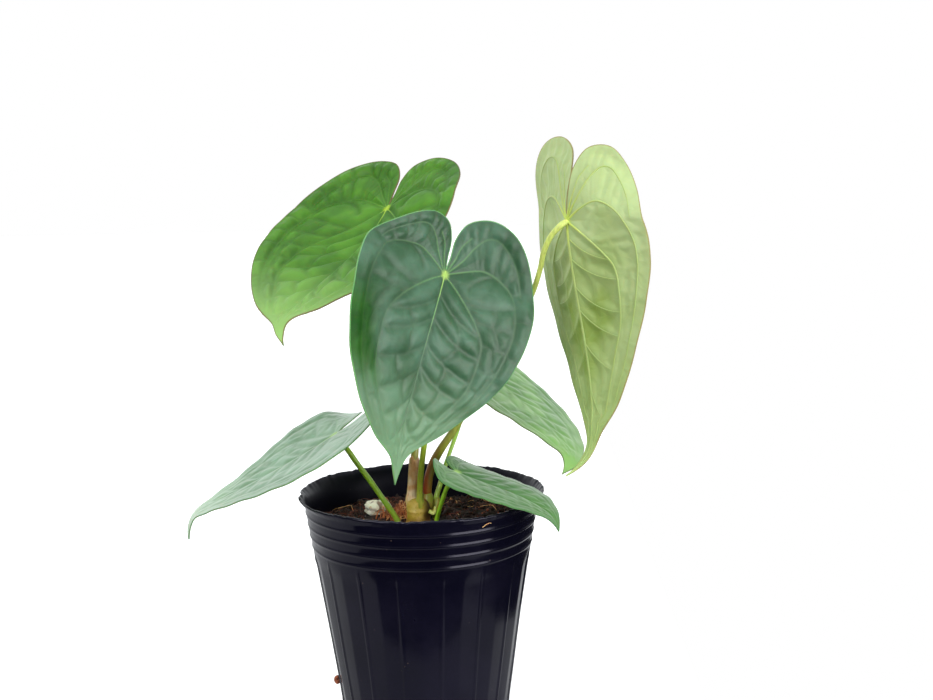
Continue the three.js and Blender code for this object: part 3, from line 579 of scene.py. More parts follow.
def bowed(start, end, bow, steps=9):
    """A line from start to end that bows to one side."""
    start, end = np.array(start, float), np.array(end, float)
    share = np.linspace(0, 1, steps)[:, None]
    across = np.array([-(end - start)[1], (end - start)[0]])
    return start + (end - start) * share + across * bow * 4 * share * (1 - share)


def on_line(line, x):
    """The point at x on the outer run of a vein."""
    line = np.array(line)
    rising = line[np.argmin(line[:, 0]):]
    return (x, float(np.interp(x, rising[:, 0], rising[:, 1])))


def vein_lines(seed, side):
    """Lines of one half on the plain heart: the long veins, the side veins and the cross veins."""
    rng = random.Random(seed * 2 + (side > 0))
    long_veins = [through(points, np.linspace(0, 1, 60))
                  for points in (VEIN_ONE, VEIN_TWO, VEIN_THREE, VEIN_FOUR)]
    side_veins, cross_veins = [], []
    for start in SIDE_STARTS:
        root = start + rng.uniform(-0.015, 0.015)
        run = SIDE_RUN * (1 - 0.35 * start) + rng.uniform(-0.01, 0.01)
        end = on_line(VEIN_ONE, min(root + run, 0.97))
        side_veins.append(bowed((root, 0), end, -0.06 - rng.uniform(0, 0.05)))
    for x in CROSS_STARTS:
        x += rng.uniform(-0.015, 0.015)
        start = on_line(VEIN_ONE, x + 0.02) if x > 0.1 else tuple(through(VEIN_ONE, [0.12 + x])[0])
        cross_veins.append(bowed(start, on_line(VEIN_TWO, x + 0.02), -0.05))
    for share in np.linspace(0.16, 0.78, 15):
        share += rng.uniform(-0.01, 0.01)
        edge = through(HALF_OUTLINE, [share])[0]
        inner = min(long_veins[1], key=lambda spot: math.dist((spot[0] + RIM_LEAN, spot[1]), edge))
        cross_veins.append(bowed(inner, edge * RIM_SHARE + inner * (1 - RIM_SHARE), 0.04))
    ladder = side_veins + cross_veins[:len(CROSS_STARTS)]
    for first, second in zip(ladder, ladder[1:]):
        if np.hypot(*(first[4] - second[4])) < 0.25:
            cross_veins.append(bowed(first[rng.choice((3, 4, 5))], second[rng.choice((3, 4, 5))], 0.1))
    cross_veins += [bowed(near, far, 0.08) for near, far in LOBE_CROSSINGS]
    return long_veins[:1], long_veins[1:], side_veins, cross_veins


def leaf_veins(blade, seed, side):
    """The vein lines of one half of a leaf, in millimetres on its flat form, with their kinds."""
    kinds = zip(("long", "fan", "side", "cross"), vein_lines(seed, side))
    lines = [("rib", np.stack([np.linspace(-0.02, 0.995, 80), np.zeros(80)], 1) * blade.length)]
    for kind, group in kinds:
        for line in group:
            along, reach = blade.flat(line[:, 0], line[:, 1], side)
            lines.append((kind, np.stack([along, reach], 1) * blade.length))
    return lines


CHUNK = 4000


def distance_to(lines, x, y):
    """Distance of each point x, y to the nearest of the lines."""
    starts = np.vstack([line[:-1] for line in lines])
    runs = np.vstack([line[1:] - line[:-1] for line in lines])
    square = (runs ** 2).sum(1) + 1e-12
    nearest = []
    for chunk in np.array_split(np.stack([x, y], 1), len(x) // CHUNK + 1):
        dx, dy = (chunk[:, axis, None] - starts[:, axis] for axis in (0, 1))
        share = np.clip((dx * runs[:, 0] + dy * runs[:, 1]) / square, 0, 1)
        nearest.append(np.hypot(dx - share * runs[:, 0], dy - share * runs[:, 1]).min(1))
    return np.concatenate(nearest)


veins = {name: {side: leaf_veins(blades[name], seed, side) for side in (1, -1)}
         for seed, name in enumerate(LEAVES)}
print("vein lines on the front leaf:", sum(len(veins["leaf_front"][side]) for side in (1, -1)))

# %% [markdown]
# ## Leaf materials
# One node group holds what all the blades share: blotches of lighter and darker green, painted
# shade in the valleys beside the veins, a paler band along the veins, a fine net between them, a
# painted sheen that pales the blade towards its tip, a painted shadow on one flank, and the thin
# edge. It also gives a height for the small swellings of the net. Each leaf sets its own colours.

# %% Blade pattern group
TONES = ("Deep", "Light", "Vein", "Heart", "Edge", "Tip")
AMOUNTS = ("Net", "Pale Rim", "Blotches", "Valley", "Flank")
RESULTS = ("Color", "Roughness", "Height", "Matt")
EDGE_WIDTH = 0.6
blade_pattern = bpy.data.node_groups.new("blade_pattern", "ShaderNodeTree")
for labels, way, kind in ((TONES, "INPUT", "Color"), (AMOUNTS, "INPUT", "Float"),
                          (RESULTS[:1], "OUTPUT", "Color"), (RESULTS[1:], "OUTPUT", "Float")):
    for label in labels:
        blade_pattern.interface.new_socket(name=label, in_out=way, socket_type="NodeSocket" + kind)
given = blade_pattern.nodes.new("NodeGroupInput").outputs
gives = blade_pattern.nodes.new("NodeGroupOutput").inputs

group = Nodes(blade_pattern)
flat = group.fact("flat", "Vector")
vein_gap, fine_gap, edge_gap, heart_gap, reach = (
    group.fact(name) for name in ("vein", "fine", "edge", "heart", "reach"))
blotch = group.noise(0.045, 3, 0.55, flat)
warp = group.noise(0.12, 1, at=flat, out="Color")
pulled = group.put("VectorMath", warp, (9, 9, 0), flat, operation="MULTIPLY_ADD")
net = group.cells(0.45, pulled, "DISTANCE_TO_EDGE")
cell_gap = group.cells(0.14, pulled, "DISTANCE_TO_EDGE")

toward_rim = group.maths("ADD", group.ease(edge_gap, 5, 22, 0.6, -0.25),
                         group.ease(reach, -0.15, 0.5, 0.55, -0.3))
blotchy = group.times(group.ease(blotch, 0.36, 0.66, -0.5, 0.5), given["Blotches"])
patchy = group.maths("MULTIPLY_ADD", given["Pale Rim"], toward_rim, group.maths("ADD", blotchy, 0.5))
skin = group.mix(patchy, given["Deep"], given["Light"])
# Painted shade: the green is darkened in the valleys beside the veins.
valley_shade = group.ease(group.maths("MINIMUM", vein_gap, fine_gap), 0.2, 3.2, 1, 0)
skin = group.mix(group.times(valley_shade, given["Valley"]), skin, (0.42, 0.5, 0.3, 1), "MULTIPLY")
near_heart = group.ease(heart_gap, 4, 40, 0.34, 0.07)
for gap, width, amount in ((cell_gap, (0, 0.06), given["Net"]), (fine_gap, (0, 0.6), given["Net"]),
                           (vein_gap, (0.1, 0.75), near_heart)):
    skin = group.mix(group.times(group.ease(gap, *width, 1, 0), amount), skin, given["Vein"])
# Painted sheen: the colour pales and greys towards the tip, where a sheen would lie.
skin = group.mix(group.ease(reach, 0.35, 1.05, 0, 0.8), skin, given["Tip"])
along, across = group.axis(flat, "X"), group.axis(flat, "Y")
# Painted shadow: a band on the left flank is turned a darker, deeper green, and the same mask lowers the
# sheen there.
shaded_flank = group.times(group.ease(across, -24, -18, 1, 0), group.ease(edge_gap, 9, 17, 1, 0),
                    group.ease(along, 8, 30), group.ease(along, 44, 64, 1, 0), given["Flank"])
skin = group.mix(shaded_flank, skin, (0.5, 0.8, 0.2, 1), "MULTIPLY")
skin = group.mix(group.ease(heart_gap, 0.5, 3.2, 0.75, 0), skin, given["Heart"])
edge = group.ease(edge_gap, 0.3 * EDGE_WIDTH, EDGE_WIDTH, 0.9, 0)
swell = group.maths("MULTIPLY_ADD", group.ease(net, 0, 0.3), 0.06, group.ease(cell_gap, 0, 0.45))
for label, value in zip(RESULTS, (
        group.mix(edge, skin, given["Edge"]), group.maths("MULTIPLY_ADD", blotch, 0.16, 0.38),
        group.maths("MULTIPLY_ADD", group.noise(1.6, at=flat), 0.06, swell), shaded_flank)):
    group.feed(gives[label], value)
print("blade pattern nodes:", len(blade_pattern.nodes))

# %% [markdown]
# The two faces of a leaf differ. The upper face is deep green with a waxy gloss, and the
# underside is paler, duller and a little yellow. Light also comes through a thin leaf, so the
# shader is given some subsurface scattering.

# %% Blade materials
def blade_material(name, colours, roughness=0.0, bump=0.12, density=1.46, sheen=0.2, net=0.03,
                   pale_rim=0.0, blotches=1.0, valley_shade=0.2, shaded_flank=0.0):
    """A leaf face. The colours are in the order of TONES."""
    paint = Paint(name, 0.4, 0.12, IOR=density, Sheen_Weight=sheen, Sheen_Roughness=0.4)
    pattern = paint.put("Group", out=None, node_tree=blade_pattern, **dict(zip(TONES, colours)), Net=net,
                        Pale_Rim=pale_rim, Blotches=blotches, Valley=valley_shade, Flank=shaded_flank)
    paint.set(Base_Color=pattern["Color"], Roughness=paint.maths("ADD", pattern["Roughness"], roughness))
    # The painted shadow on the flank also lowers the sheen and the gloss there.
    if shaded_flank:
        paint.set(Sheen_Weight=paint.maths("MULTIPLY_ADD", pattern["Matt"], -0.85 * sheen, sheen),
                  Specular_IOR_Level=paint.maths("MULTIPLY_ADD", pattern["Matt"], -0.4, 0.5))
    paint.relief(bump, 0.001, pattern["Height"])
    return paint.made


FACES = {
    "leaf_front": (
        ((26, 72, 38), (62, 100, 76), (112, 164, 90), (176, 206, 96), (96, 156, 90), (122, 160, 118)),
        ((96, 134, 80), (122, 158, 102), (150, 180, 110), (190, 210, 110), (96, 140, 80), (130, 164, 108))),
    "leaf_upper_left": (
        ((38, 92, 0), (90, 148, 38), (98, 150, 50), (176, 206, 40), (96, 84, 40), (150, 190, 108)),
        ((130, 166, 92), (156, 188, 114), (180, 206, 130), (200, 220, 110), (120, 100, 60), (160, 190, 120))),
    "leaf_upper_right": (
        ((70, 118, 44), (100, 144, 66), (150, 184, 110), (200, 220, 110), (120, 96, 60), (120, 160, 90)),
        ((134, 158, 72), (172, 192, 132), (178, 196, 110), (204, 222, 90), (142, 132, 74), (150, 176, 102))),
    "leaf_lower_left": (
        ((76, 120, 78), (114, 150, 118), (116, 156, 106), (150, 190, 90), (60, 104, 50), (162, 188, 158)),
        ((130, 160, 106), (150, 180, 120), (160, 190, 130), (190, 210, 110), (70, 112, 56), (150, 180, 120))),
    "leaf_lower_right": (
        ((46, 96, 38), (70, 116, 58), (106, 152, 84), (150, 190, 90), (56, 104, 46), (76, 122, 56)),
        ((110, 146, 90), (134, 168, 106), (150, 184, 120), (190, 210, 110), (60, 110, 56), (130, 164, 100))),
    "leaf_rear": (
        ((70, 122, 44), (112, 156, 84), (134, 176, 100), (190, 214, 110), (84, 100, 50), (120, 164, 84)),
        ((130, 166, 92), (156, 188, 116), (170, 200, 130), (190, 214, 110), (84, 104, 52), (150, 184, 110))),
}
GLOSS = {
    "leaf_front": dict(roughness=0.06, density=1.5, sheen=0.4, valley_shade=0.4, shaded_flank=1.0),
    "leaf_upper_left": dict(density=1.32, sheen=0.0, valley_shade=0.5, blotches=0.5),
    "leaf_lower_left": dict(roughness=-0.1, density=1.5, sheen=0.25, valley_shade=0.15),
    "leaf_rear": dict(valley_shade=0.3),
}
UNDERSIDE = dict(roughness=0.12, net=0.12, pale_rim=0.8, bump=0.2, sheen=0.0, blotches=0.4, valley_shade=0.12)
face_paints = {name: [blade_material(name + "_upper", upper, **GLOSS.get(name, {})),
                      blade_material(name + "_under", under, **UNDERSIDE)]
               for name, (upper, under) in FACES.items()}
print("blade materials:", 2 * len(face_paints))

# %% [markdown]
# ## Blades
# Each half blade is two welded grids: a small one between the notch and the lobe, and a large one
# from the lobe round to the tip. The skin swells between the veins, as the solids do, and the two
# halves meet at the midrib. A Solidify modifier then gives the thickness, with the underside's
# material on its second face.

# %% Blade pieces
BLADE_THICKNESS = 0.6
ROWS_PER_MM, COLUMNS_PER_MM = 1.6, 0.6
VEIN_DEPTH, VEIN_WIDTH, CELL_DEPTH = 0.008, 0.04, 0.0075
EDGE_RIPPLE, RIPPLES = 0.22, 6


def rim_gaps(blade, side, x, y):
    """Distances of flat points to the edge of their half."""
    return distance_to([blade.margin(side)(np.linspace(0, 1, 400))], x, y)


def vein_gaps(lines, spot):
    """Distances of flat points to the long veins, the side veins and the cross veins."""
    groups = ([line for kind, line in lines if kind in kinds]
              for kinds in (("rib", "long", "fan"), ("side",), ("cross",)))
    return [distance_to(group, spot[:, 0], spot[:, 1]) for group in groups]


def swelling(blade, gaps, rim_gap):
    """How far the skin stands up between the veins. It is flat at the edge."""
    strong, beside, cross = gaps
    wide = VEIN_WIDTH * blade.length
    far = 1 - np.exp(-(np.minimum(strong, beside * 1.3) / wide) ** 2)
    cell = 1 - np.exp(-(np.minimum(np.minimum(strong, beside), cross) / (0.45 * wide)) ** 2)
    full = blade.length * (VEIN_DEPTH * far + CELL_DEPTH * cell) * blade.leaf["relief"]
    return full * smoothstep(rim_gap / (0.05 * blade.length))


def ripple(blade, x, rim_gap):
    """The gentle waves of the margin. They fade towards the midrib, the lobes and the tip."""
    share = x / blade.length
    fade = smoothstep(share / 0.2) * smoothstep((0.95 - share) / 0.2)
    near_rim = smoothstep(1 - rim_gap / (0.16 * blade.length))
    return EDGE_RIPPLE * near_rim * fade * np.sin(2 * np.pi * RIPPLES * share)


def blade_place(blade, lines, side, patch):
    """The place function of one grid of a half blade."""
    margin = blade.margin(side)

    def place(row, column):
        if patch == "lobe":
            inner = margin(LOBE_AT * row)
            axis = row[:, None] * margin(np.array([LOBE_AT]))
            spot = axis * (1 - column)[:, None] + inner * column[:, None]
        else:
            along = LOBE_AT + (1 - LOBE_AT) * row
            root = np.maximum(along - SHOULDER_AT, 0) / (1 - SHOULDER_AT) * blade.length
            edge = margin(along)
            spot = np.stack([root * (1 - column) + edge[:, 0] * column, edge[:, 1] * column], 1)
        x, y = spot[:, 0], np.maximum(spot[:, 1], 0)
        gaps = vein_gaps(lines, np.stack([x, y], 1))
        rim_gap = rim_gaps(blade, side, x, y)
        height = swelling(blade, gaps, rim_gap) + ripple(blade, x, rim_gap)
        facts = {
            "flat": np.stack([x, side * y, np.zeros_like(x)], 1),
            "vein": gaps[0], "fine": np.minimum(gaps[1], gaps[2] * 1.3),
            "edge": rim_gap, "heart": np.hypot(x, y), "reach": x / blade.length,
        }
        return blade.place(x, y, height, side), facts
    return place


def thicken(piece, thickness, second_paint=0):
    """Gives a sheet its thickness, half to each side."""
    skin = piece.modifiers.new("thickness", "SOLIDIFY")
    skin.thickness = thickness * MM
    skin.offset = 0
    skin.material_offset = second_paint
    skin.material_offset_rim = second_paint


def blade_piece(name, rows, columns):
    blade = blades[name]
    work = bmesh.new()
    for side in (1, -1):
        lines = veins[name][side]
        add_grid(work, rows, columns, blade_place(blade, lines, side, "main"), turn_over=side < 0)
        add_grid(work, columns, rows // 8, blade_place(blade, lines, side, "lobe"), turn_over=side < 0)
    piece = finish_piece(work, name + "_blade", [name], face_paints[name], weld=0.02 * MM)
    thicken(piece, BLADE_THICKNESS, 1)


for name, blade in blades.items():
    blade_piece(name, int(ROWS_PER_MM * blade.length), int(COLUMNS_PER_MM * blade.length))

# %% [markdown]
# Long veins stand out of the underside as ribs and show on the upper face as fine pale lines. So
# each is a thin tapered bar let into the blade. The bars of one leaf are curves with a round
# bevel, turned into one mesh.

# %% Vein pieces
VEIN_SIZES = {"rib": (0.68, 0.36), "long": (0.54, 0.24), "fan": (0.49, 0.2), "side": (0.28, 0.16)}
VEIN_SINK = 0.2
SEEN_FROM_BELOW = "leaf_upper_right"


def bars(name, lines, roundness):
    """Thin round bars along lines of (points, radii), in millimetres."""
    curve = bpy.data.curves.new(name, "CURVE")
    curve.dimensions = "3D"
    curve.bevel_depth = 1.0
    curve.bevel_resolution = roundness
    curve.use_fill_caps = True
    for points, radii in lines:
        spline = curve.splines.new("POLY")
        spline.points.add(len(points) - 1)
        spline.points.foreach_set("co", np.hstack([points * MM, np.ones((len(points), 1))]).ravel())
        spline.points.foreach_set("radius", radii * MM)
    holder = bpy.data.objects.new(name + "_curve", curve)
    scene.collection.objects.link(holder)
    mesh = bpy.data.meshes.new_from_object(holder.evaluated_get(bpy.context.evaluated_depsgraph_get()))
    work = bmesh.new()
    work.from_mesh(mesh)
    bpy.data.objects.remove(holder)
    bpy.data.curves.remove(curve)
    bpy.data.meshes.remove(mesh)
    return work


def vein_material(name, colour, heart, ground):
    paint = Paint(name, 0.42, 0.1)
    gap = paint.fact("heart")
    toned = paint.mix(paint.ease(paint.noise(180), 0.3, 0.7, 0, 0.35), colour, darker(colour, 0.85))
    faded = paint.mix(paint.ease(gap, 6, 46, 0, 0.8), toned, ground)
    paint.set(Base_Color=paint.mix(paint.ease(gap, 1, 14, 0.7, 0), faded, heart))
    return paint.made


def vein_piece(name):
    blade = blades[name]
    scale = (blade.length / 100) ** 0.5
    lines = []
    for side in (1, -1):
        for kind, line in veins[name][side]:
            if kind not in VEIN_SIZES or (kind == "rib" and side < 0):
                continue
            x, y = line.T
            rim_gap = rim_gaps(blade, side, x, y)
            gaps = vein_gaps(veins[name][side], line)
            height = swelling(blade, gaps, rim_gap) + ripple(blade, x, rim_gap)
            radii = np.linspace(*VEIN_SIZES[kind], len(line)) * scale
            lines.append((blade.place(x, y, height - VEIN_SINK, side), radii))
    work = bars(name + "_veins", lines, 2)
    layer = work.verts.layers.float.new("heart")
    root = Vector(LEAVES[name]["attach"]) * MM
    for vert in work.verts:
        vert[layer] = (vert.co - root).length / MM
    tones = FACES[name][1 if name == SEEN_FROM_BELOW else 0]
    ground = tuple((deep + light) // 2 for deep, light in zip(*tones[:2]))
    paint = vein_material(name + "_vein", tones[2], tones[3], ground)
    finish_piece(work, name + "_veins", [], [paint], weld=0)


for name in LEAVES:
    vein_piece(name)

# %% [markdown]
# ## Stalks
# A stalk is a long round tube, swollen where it meets the blade. The colour changes along it,
# from brownish or reddish at the foot to fresh green at the top, with fine long streaks.

# %% Stalk pieces
def stalk_points(name):
    """The stalk's line, carried on into the blade from below."""
    line, _, face = (rows[0] for rows in blades[name].station(np.zeros(1)))
    face = face / np.linalg.norm(face)
    below = line - 5 * face
    if name == SEEN_FROM_BELOW:
        below = (below + line) / 2 - np.array([0.6, 0.4, 1.6])
    return LEAVES[name]["stalk"] + [tuple(below), tuple(line + 0.2 * face)]


def stalk_material(name, foot, middle, top, blush, blush_reach):
    paint = Paint(name, 0.36, 0.1)
    along, turn = paint.fact("along"), paint.fact("turn")
    streak = paint.streaks((900, 900, 60), 3)
    rising = paint.tree.nodes.new("ShaderNodeValToRGB")
    paint.feed(rising.inputs[0], along)
    steps = rising.color_ramp.elements
    steps[0].position, steps[1].position = 0.02, 0.9
    for place in (0.12, 0.38):
        steps.new(place)
    for step, colour in zip(steps, (foot, foot, middle, top)):
        step.color = (*map(linear, colour), 1)
    shade = paint.mix(paint.ease(streak, 0.35, 0.7, 0, 0.3), rising.outputs[0], darker(middle, 0.6))
    lit_side = paint.ease(paint.maths("COSINE", paint.maths("MULTIPLY_ADD", turn, math.tau, 2.6)), 0.2, 0.9)
    low = paint.ease(along, blush_reach * 0.4, blush_reach, 1, 0)
    blushed = paint.mix(paint.times(lit_side, low), shade, blush)
    flecks = paint.ease(paint.cells(420), 0.05, 0.2, 0.35, 0)
    paint.set(Base_Color=paint.mix(flecks, blushed, darker(middle, 0.75)))
    paint.relief(0.25, 0.0004, streak)
    return paint.made


STALK_ROWS, STALK_COLUMNS = 150, 24
STALKS = {
    "leaf_front": ((160, 162, 54), (142, 162, 46), (150, 180, 60), (120, 130, 20), 0.2),
    "leaf_upper_left": ((204, 150, 96), (160, 150, 60), (170, 196, 80), (176, 84, 50), 0.4),
    "leaf_upper_right": ((150, 84, 34), (120, 124, 30), (216, 232, 124), (152, 70, 32), 0.5),
    "leaf_lower_left": ((150, 172, 44), (124, 164, 36), (138, 170, 34), (130, 146, 40), 0.1),
    "leaf_lower_right": ((140, 186, 40), (132, 184, 36), (150, 196, 66), (130, 166, 36), 0.1),
    "leaf_rear": ((160, 188, 70), (144, 186, 62), (160, 196, 90), (130, 156, 46), 0.1),
}
FROM_STEM_TOP = ("leaf_front", "leaf_upper_left", "leaf_upper_right")


def stalk_grooves(along, angle):
    return 1 + 0.03 * np.sin(3 * angle + 6 * along) + 0.02 * np.sin(40 * along)


for name, tones in STALKS.items():
    points = stalk_points(name)
    radii = LEAVES[name]["stalk_radii"] + [1.5, 1.3]
    if name in FROM_STEM_TOP:
        x, y, z = points[0]
        points = [(x * 0.8, y * 0.8, z - 4), (x * 0.93, y * 0.93, z - 2)] + points
        radii = [radii[0] * 1.5, radii[0] * 1.3] + radii
    work = bmesh.new()
    add_grid(work, STALK_ROWS, STALK_COLUMNS, tube_place(points, radii, stalk_grooves), turn_over=True)
    close_up(work)
    finish_piece(work, name + "_stalk", [name], [stalk_material(name + "_stalk", *tones)])

# %% [markdown]
# ## Stem
# The stem is short and thick, with low rings where older leaves have fallen, a joint and a side
# bud that carry stalks, and the pale tip of a root. It is green-brown, and a painted shade makes
# it dark brown at the right.

# %% Stem pieces
STEM_CENTRE = (-1.4, 0.2)
STEM_PROFILE = [(86, 4.6), (92, 5.3), (98, 5.9), (100, 6.3), (101.4, 5.8), (104.6, 5.9), (106, 6.3),
                (107.2, 5.9), (109, 5.6), (110.4, 5.1), (111.3, 4.3), (111.8, 3.2), (112, 1.6)]


def stem_place(row, column):
    heights, radii = np.array(STEM_PROFILE, float).T
    last = len(heights) - 1
    index = row * last
    height = np.interp(index, np.arange(last + 1), heights)
    angle = 2 * np.pi * column
    rough = 0.25 * np.sin(3 * angle + index * 1.3) + 0.15 * np.sin(5 * angle - index)
    radius = np.interp(height, heights, radii) + rough * smoothstep(index) * smoothstep(last - index) - 0.02
    return upright_ring(*STEM_CENTRE, radius, angle, height), {}


def bark_material():
    paint = Paint("stem_skin", 0.5, 0.05)
    here = paint.here()
    patch = paint.noise(220, 5, 0.6)
    fine = paint.noise(1100, 3)
    across = paint.maths("MULTIPLY_ADD", patch, 0.004, paint.axis(here, "X"))
    toned = paint.mix(paint.ease(patch, 0.35, 0.7), (168, 146, 34), (196, 164, 84))
    # Painted shade: the stem turns dark brown towards its right side.
    shaded = paint.mix(paint.ease(across, 0.0016, 0.005), toned, (74, 50, 14))
    soiled = paint.mix(paint.ease(paint.axis(here, "Z"), 0.1005, 0.104, 0.75, 0), shaded, (120, 74, 36))
    paint.set(Base_Color=paint.mix(paint.ease(fine, 0.55, 0.75, 0, 0.5), soiled, (60, 44, 10)))
    paint.relief(0.5, 0.0006, paint.maths("MULTIPLY_ADD", fine, 0.4, patch))
    return paint.made


def plain_material(name, colour, other, scale=300, roughness=0.45):
    """A two-tone skin for small natural parts."""
    paint = Paint(name, roughness, 0.08)
    tone = paint.noise(scale, 4)
    paint.set(Base_Color=paint.mix(paint.ease(tone, 0.35, 0.65), colour, other))
    paint.relief(0.3, 0.0005, tone)
    return paint.made


work = bmesh.new()
add_grid(work, 80, 64, stem_place)
close_up(work)
finish_piece(work, "stem_trunk", ["stem"], [bark_material()])

bud_paint = plain_material("side_bud", (128, 138, 34), (150, 128, 56), 260)
for name, centre, half_size, lean in (("stem_side_bud", (7.2, 3.5, 105.4), (2.5, 2.3, 6), 8),
                                      ("stem_upper_joint", (2.9, 1.4, 109.4), (3.3, 3.2, 5.6), 4)):
    work = bmesh.new()
    egg = (Matrix.Translation(Vector(centre) * MM) @ Matrix.Rotation(math.radians(lean), 4, "Y")
           @ Matrix.Diagonal((*(value * MM for value in half_size), 1)))
    bmesh.ops.create_uvsphere(work, u_segments=32, v_segments=20, radius=1, matrix=egg)
    finish_piece(work, name, [], [bud_paint])

ROOT_POINTS, ROOT_RADII = [(3, -2, 106), (6.2, -3.4, 105), (6.8, -4, 108.4)], [1, 1, 0.45]
work = bmesh.new()
add_grid(work, 24, 14, tube_place(ROOT_POINTS, ROOT_RADII), turn_over=True)
close_up(work)
root_paint = plain_material("root_tip", (196, 196, 110), (150, 170, 60))
finish_piece(work, "stem_root_tip", [], [root_paint])

# %% [markdown]
# The dry sheath once wrapped a young leaf. Now it is papery, tan and torn, and clasps the foot of
# one stalk. It is a rolled grid, open at the back, with a ragged top and a thickness.

# %% Sheath piece
SHEATH_FOOT, SHEATH_SINK, SHEATH_HEIGHT, SHEATH_RADIUS = 112.3, 4.5, 17, 2.4
SHEATH_START, SHEATH_TURN = -235, 245


def sheath_place(row, column):
    stalk = np.array(stalk_points("leaf_upper_left"), float)
    angle = np.radians(SHEATH_START + SHEATH_TURN * column)
    torn = SHEATH_HEIGHT + 2.2 * np.sin(np.pi * column) + 0.9 * np.sin(17 * column)
    climb = -SHEATH_SINK + (torn + SHEATH_SINK) * row
    height = SHEATH_FOOT + climb
    x, y = (np.interp(height, stalk[:, 2], stalk[:, axis]) for axis in (0, 1))
    inward = np.minimum(climb, 0) * 0.16
    wrinkle = 0.08 * np.sin(9 * column + 6 * row)
    radius = SHEATH_RADIUS - 0.25 * row + wrinkle + 0.9 * smoothstep(-climb / SHEATH_SINK + 0.4)
    return upright_ring(x - inward, y, radius, angle, height), {"along": row, "turn": column}


def paper_material():
    paint = Paint("dry_sheath_paper", 0.62, 0.15)
    fibre = paint.streaks((1100, 1100, 90), 4)
    climb, turn = paint.fact("along"), paint.fact("turn")
    skin = paint.mix(paint.ease(paint.noise(160, 3), 0.35, 0.65), (216, 158, 104), (240, 216, 176))
    for mask, colour in ((paint.ease(fibre, 0.5, 0.75, 0, 0.5), (160, 96, 50)),
                         (paint.ease(turn, 0.62, 0.95, 0, 0.75), (150, 72, 40)),
                         (paint.ease(turn, 0.2, 0.45, 0.6, 0), (160, 150, 70)),
                         (paint.ease(climb, 0, 0.25, 0.7, 0), (190, 166, 84))):
        skin = paint.mix(mask, skin, colour)
    paint.set(Base_Color=skin)
    paint.relief(0.5, 0.0004, fibre)
    return paint.made


work = bmesh.new()
add_grid(work, 24, 48, sheath_place)
bmesh.ops.recalc_face_normals(work, faces=work.faces)
thicken(finish_piece(work, "sheath_sleeve", ["dry_sheath"], [paper_material()]), 0.5)

# %% [markdown]
# ## Pot
# The pot is blown from thin black plastic: rings under the rim, upright ribs below, and a rim
# that turns out and is a little ragged. Its outline is spun round the axis with the spin
# operator, and the points are then pushed in or out for the ribs, dents and crease.

# %% Pot piece
POT_HEIGHT, RIM_RADIUS, NECK_RADIUS, BASE_RADIUS, WALL, FLOOR = 115, 60, 56.8, 40, 0.9, 1.2
NECK_DEPTH, FLARE_DEPTH = 3.5, 3.6
RING_DEPTHS, RING_RISE = (7.5, 13, 18.5, 24), 0.32
RING_PROFILE = ((-1.5, 0), (-0.75, 0.12), (-0.4, 0.7), (0, 1), (0.4, 0.7), (0.75, 0.12), (1.5, 0))
RIB_COUNT, RIB_FOOT, RIB_TOP, RIB_RISE, RIB_WIDTH = 16, 4, 87.5, 0.55, 0.5
FLATTENING = 0.0114
FRONT_SHARE, CREASE_DEPTH, CREASE_WIDTH, RAGGED = 0.62, 1.4, 0.07, 0.3
WALL_HEIGHTS = [3, 5, 8, 14, 22, 30, 38, 46, 54, 62, 70, 76, 80, 82, 83.5, 85, 87]


def pot_radius(height):
    return BASE_RADIUS + (NECK_RADIUS - BASE_RADIUS) * height / (POT_HEIGHT - NECK_DEPTH)


def pot_outline():
    """Half outline from the middle of the base, up outside, over the rim and down inside."""
    outside = [(0, 0), (15, 0), (30, 0), (BASE_RADIUS - 1.4, 0), (BASE_RADIUS - 0.4, 0.5),
               (pot_radius(1.6), 1.6)]
    outside += [(pot_radius(height), height) for height in WALL_HEIGHTS]
    for depth in reversed(RING_DEPTHS):
        level = POT_HEIGHT - depth
        outside += [(pot_radius(level + step) + RING_RISE * rise, level + step)
                    for step, rise in RING_PROFILE]
    outside += [(NECK_RADIUS, POT_HEIGHT - FLARE_DEPTH), (NECK_RADIUS + 0.5, POT_HEIGHT - 2.8),
                (NECK_RADIUS + 2.4, POT_HEIGHT - 1.2), (RIM_RADIUS, POT_HEIGHT)]
    inside = [(RIM_RADIUS - WALL, POT_HEIGHT + 0.1), (NECK_RADIUS + 1.6 - WALL, POT_HEIGHT - 1.8),
              (NECK_RADIUS - WALL, POT_HEIGHT - 4)]
    inside += [(pot_radius(height) - WALL, height) for height in (104, 98, 92, *reversed(WALL_HEIGHTS))]
    inside += [(pot_radius(FLOOR) - WALL - 1, FLOOR), (20, FLOOR), (0, FLOOR)]
    return outside + inside


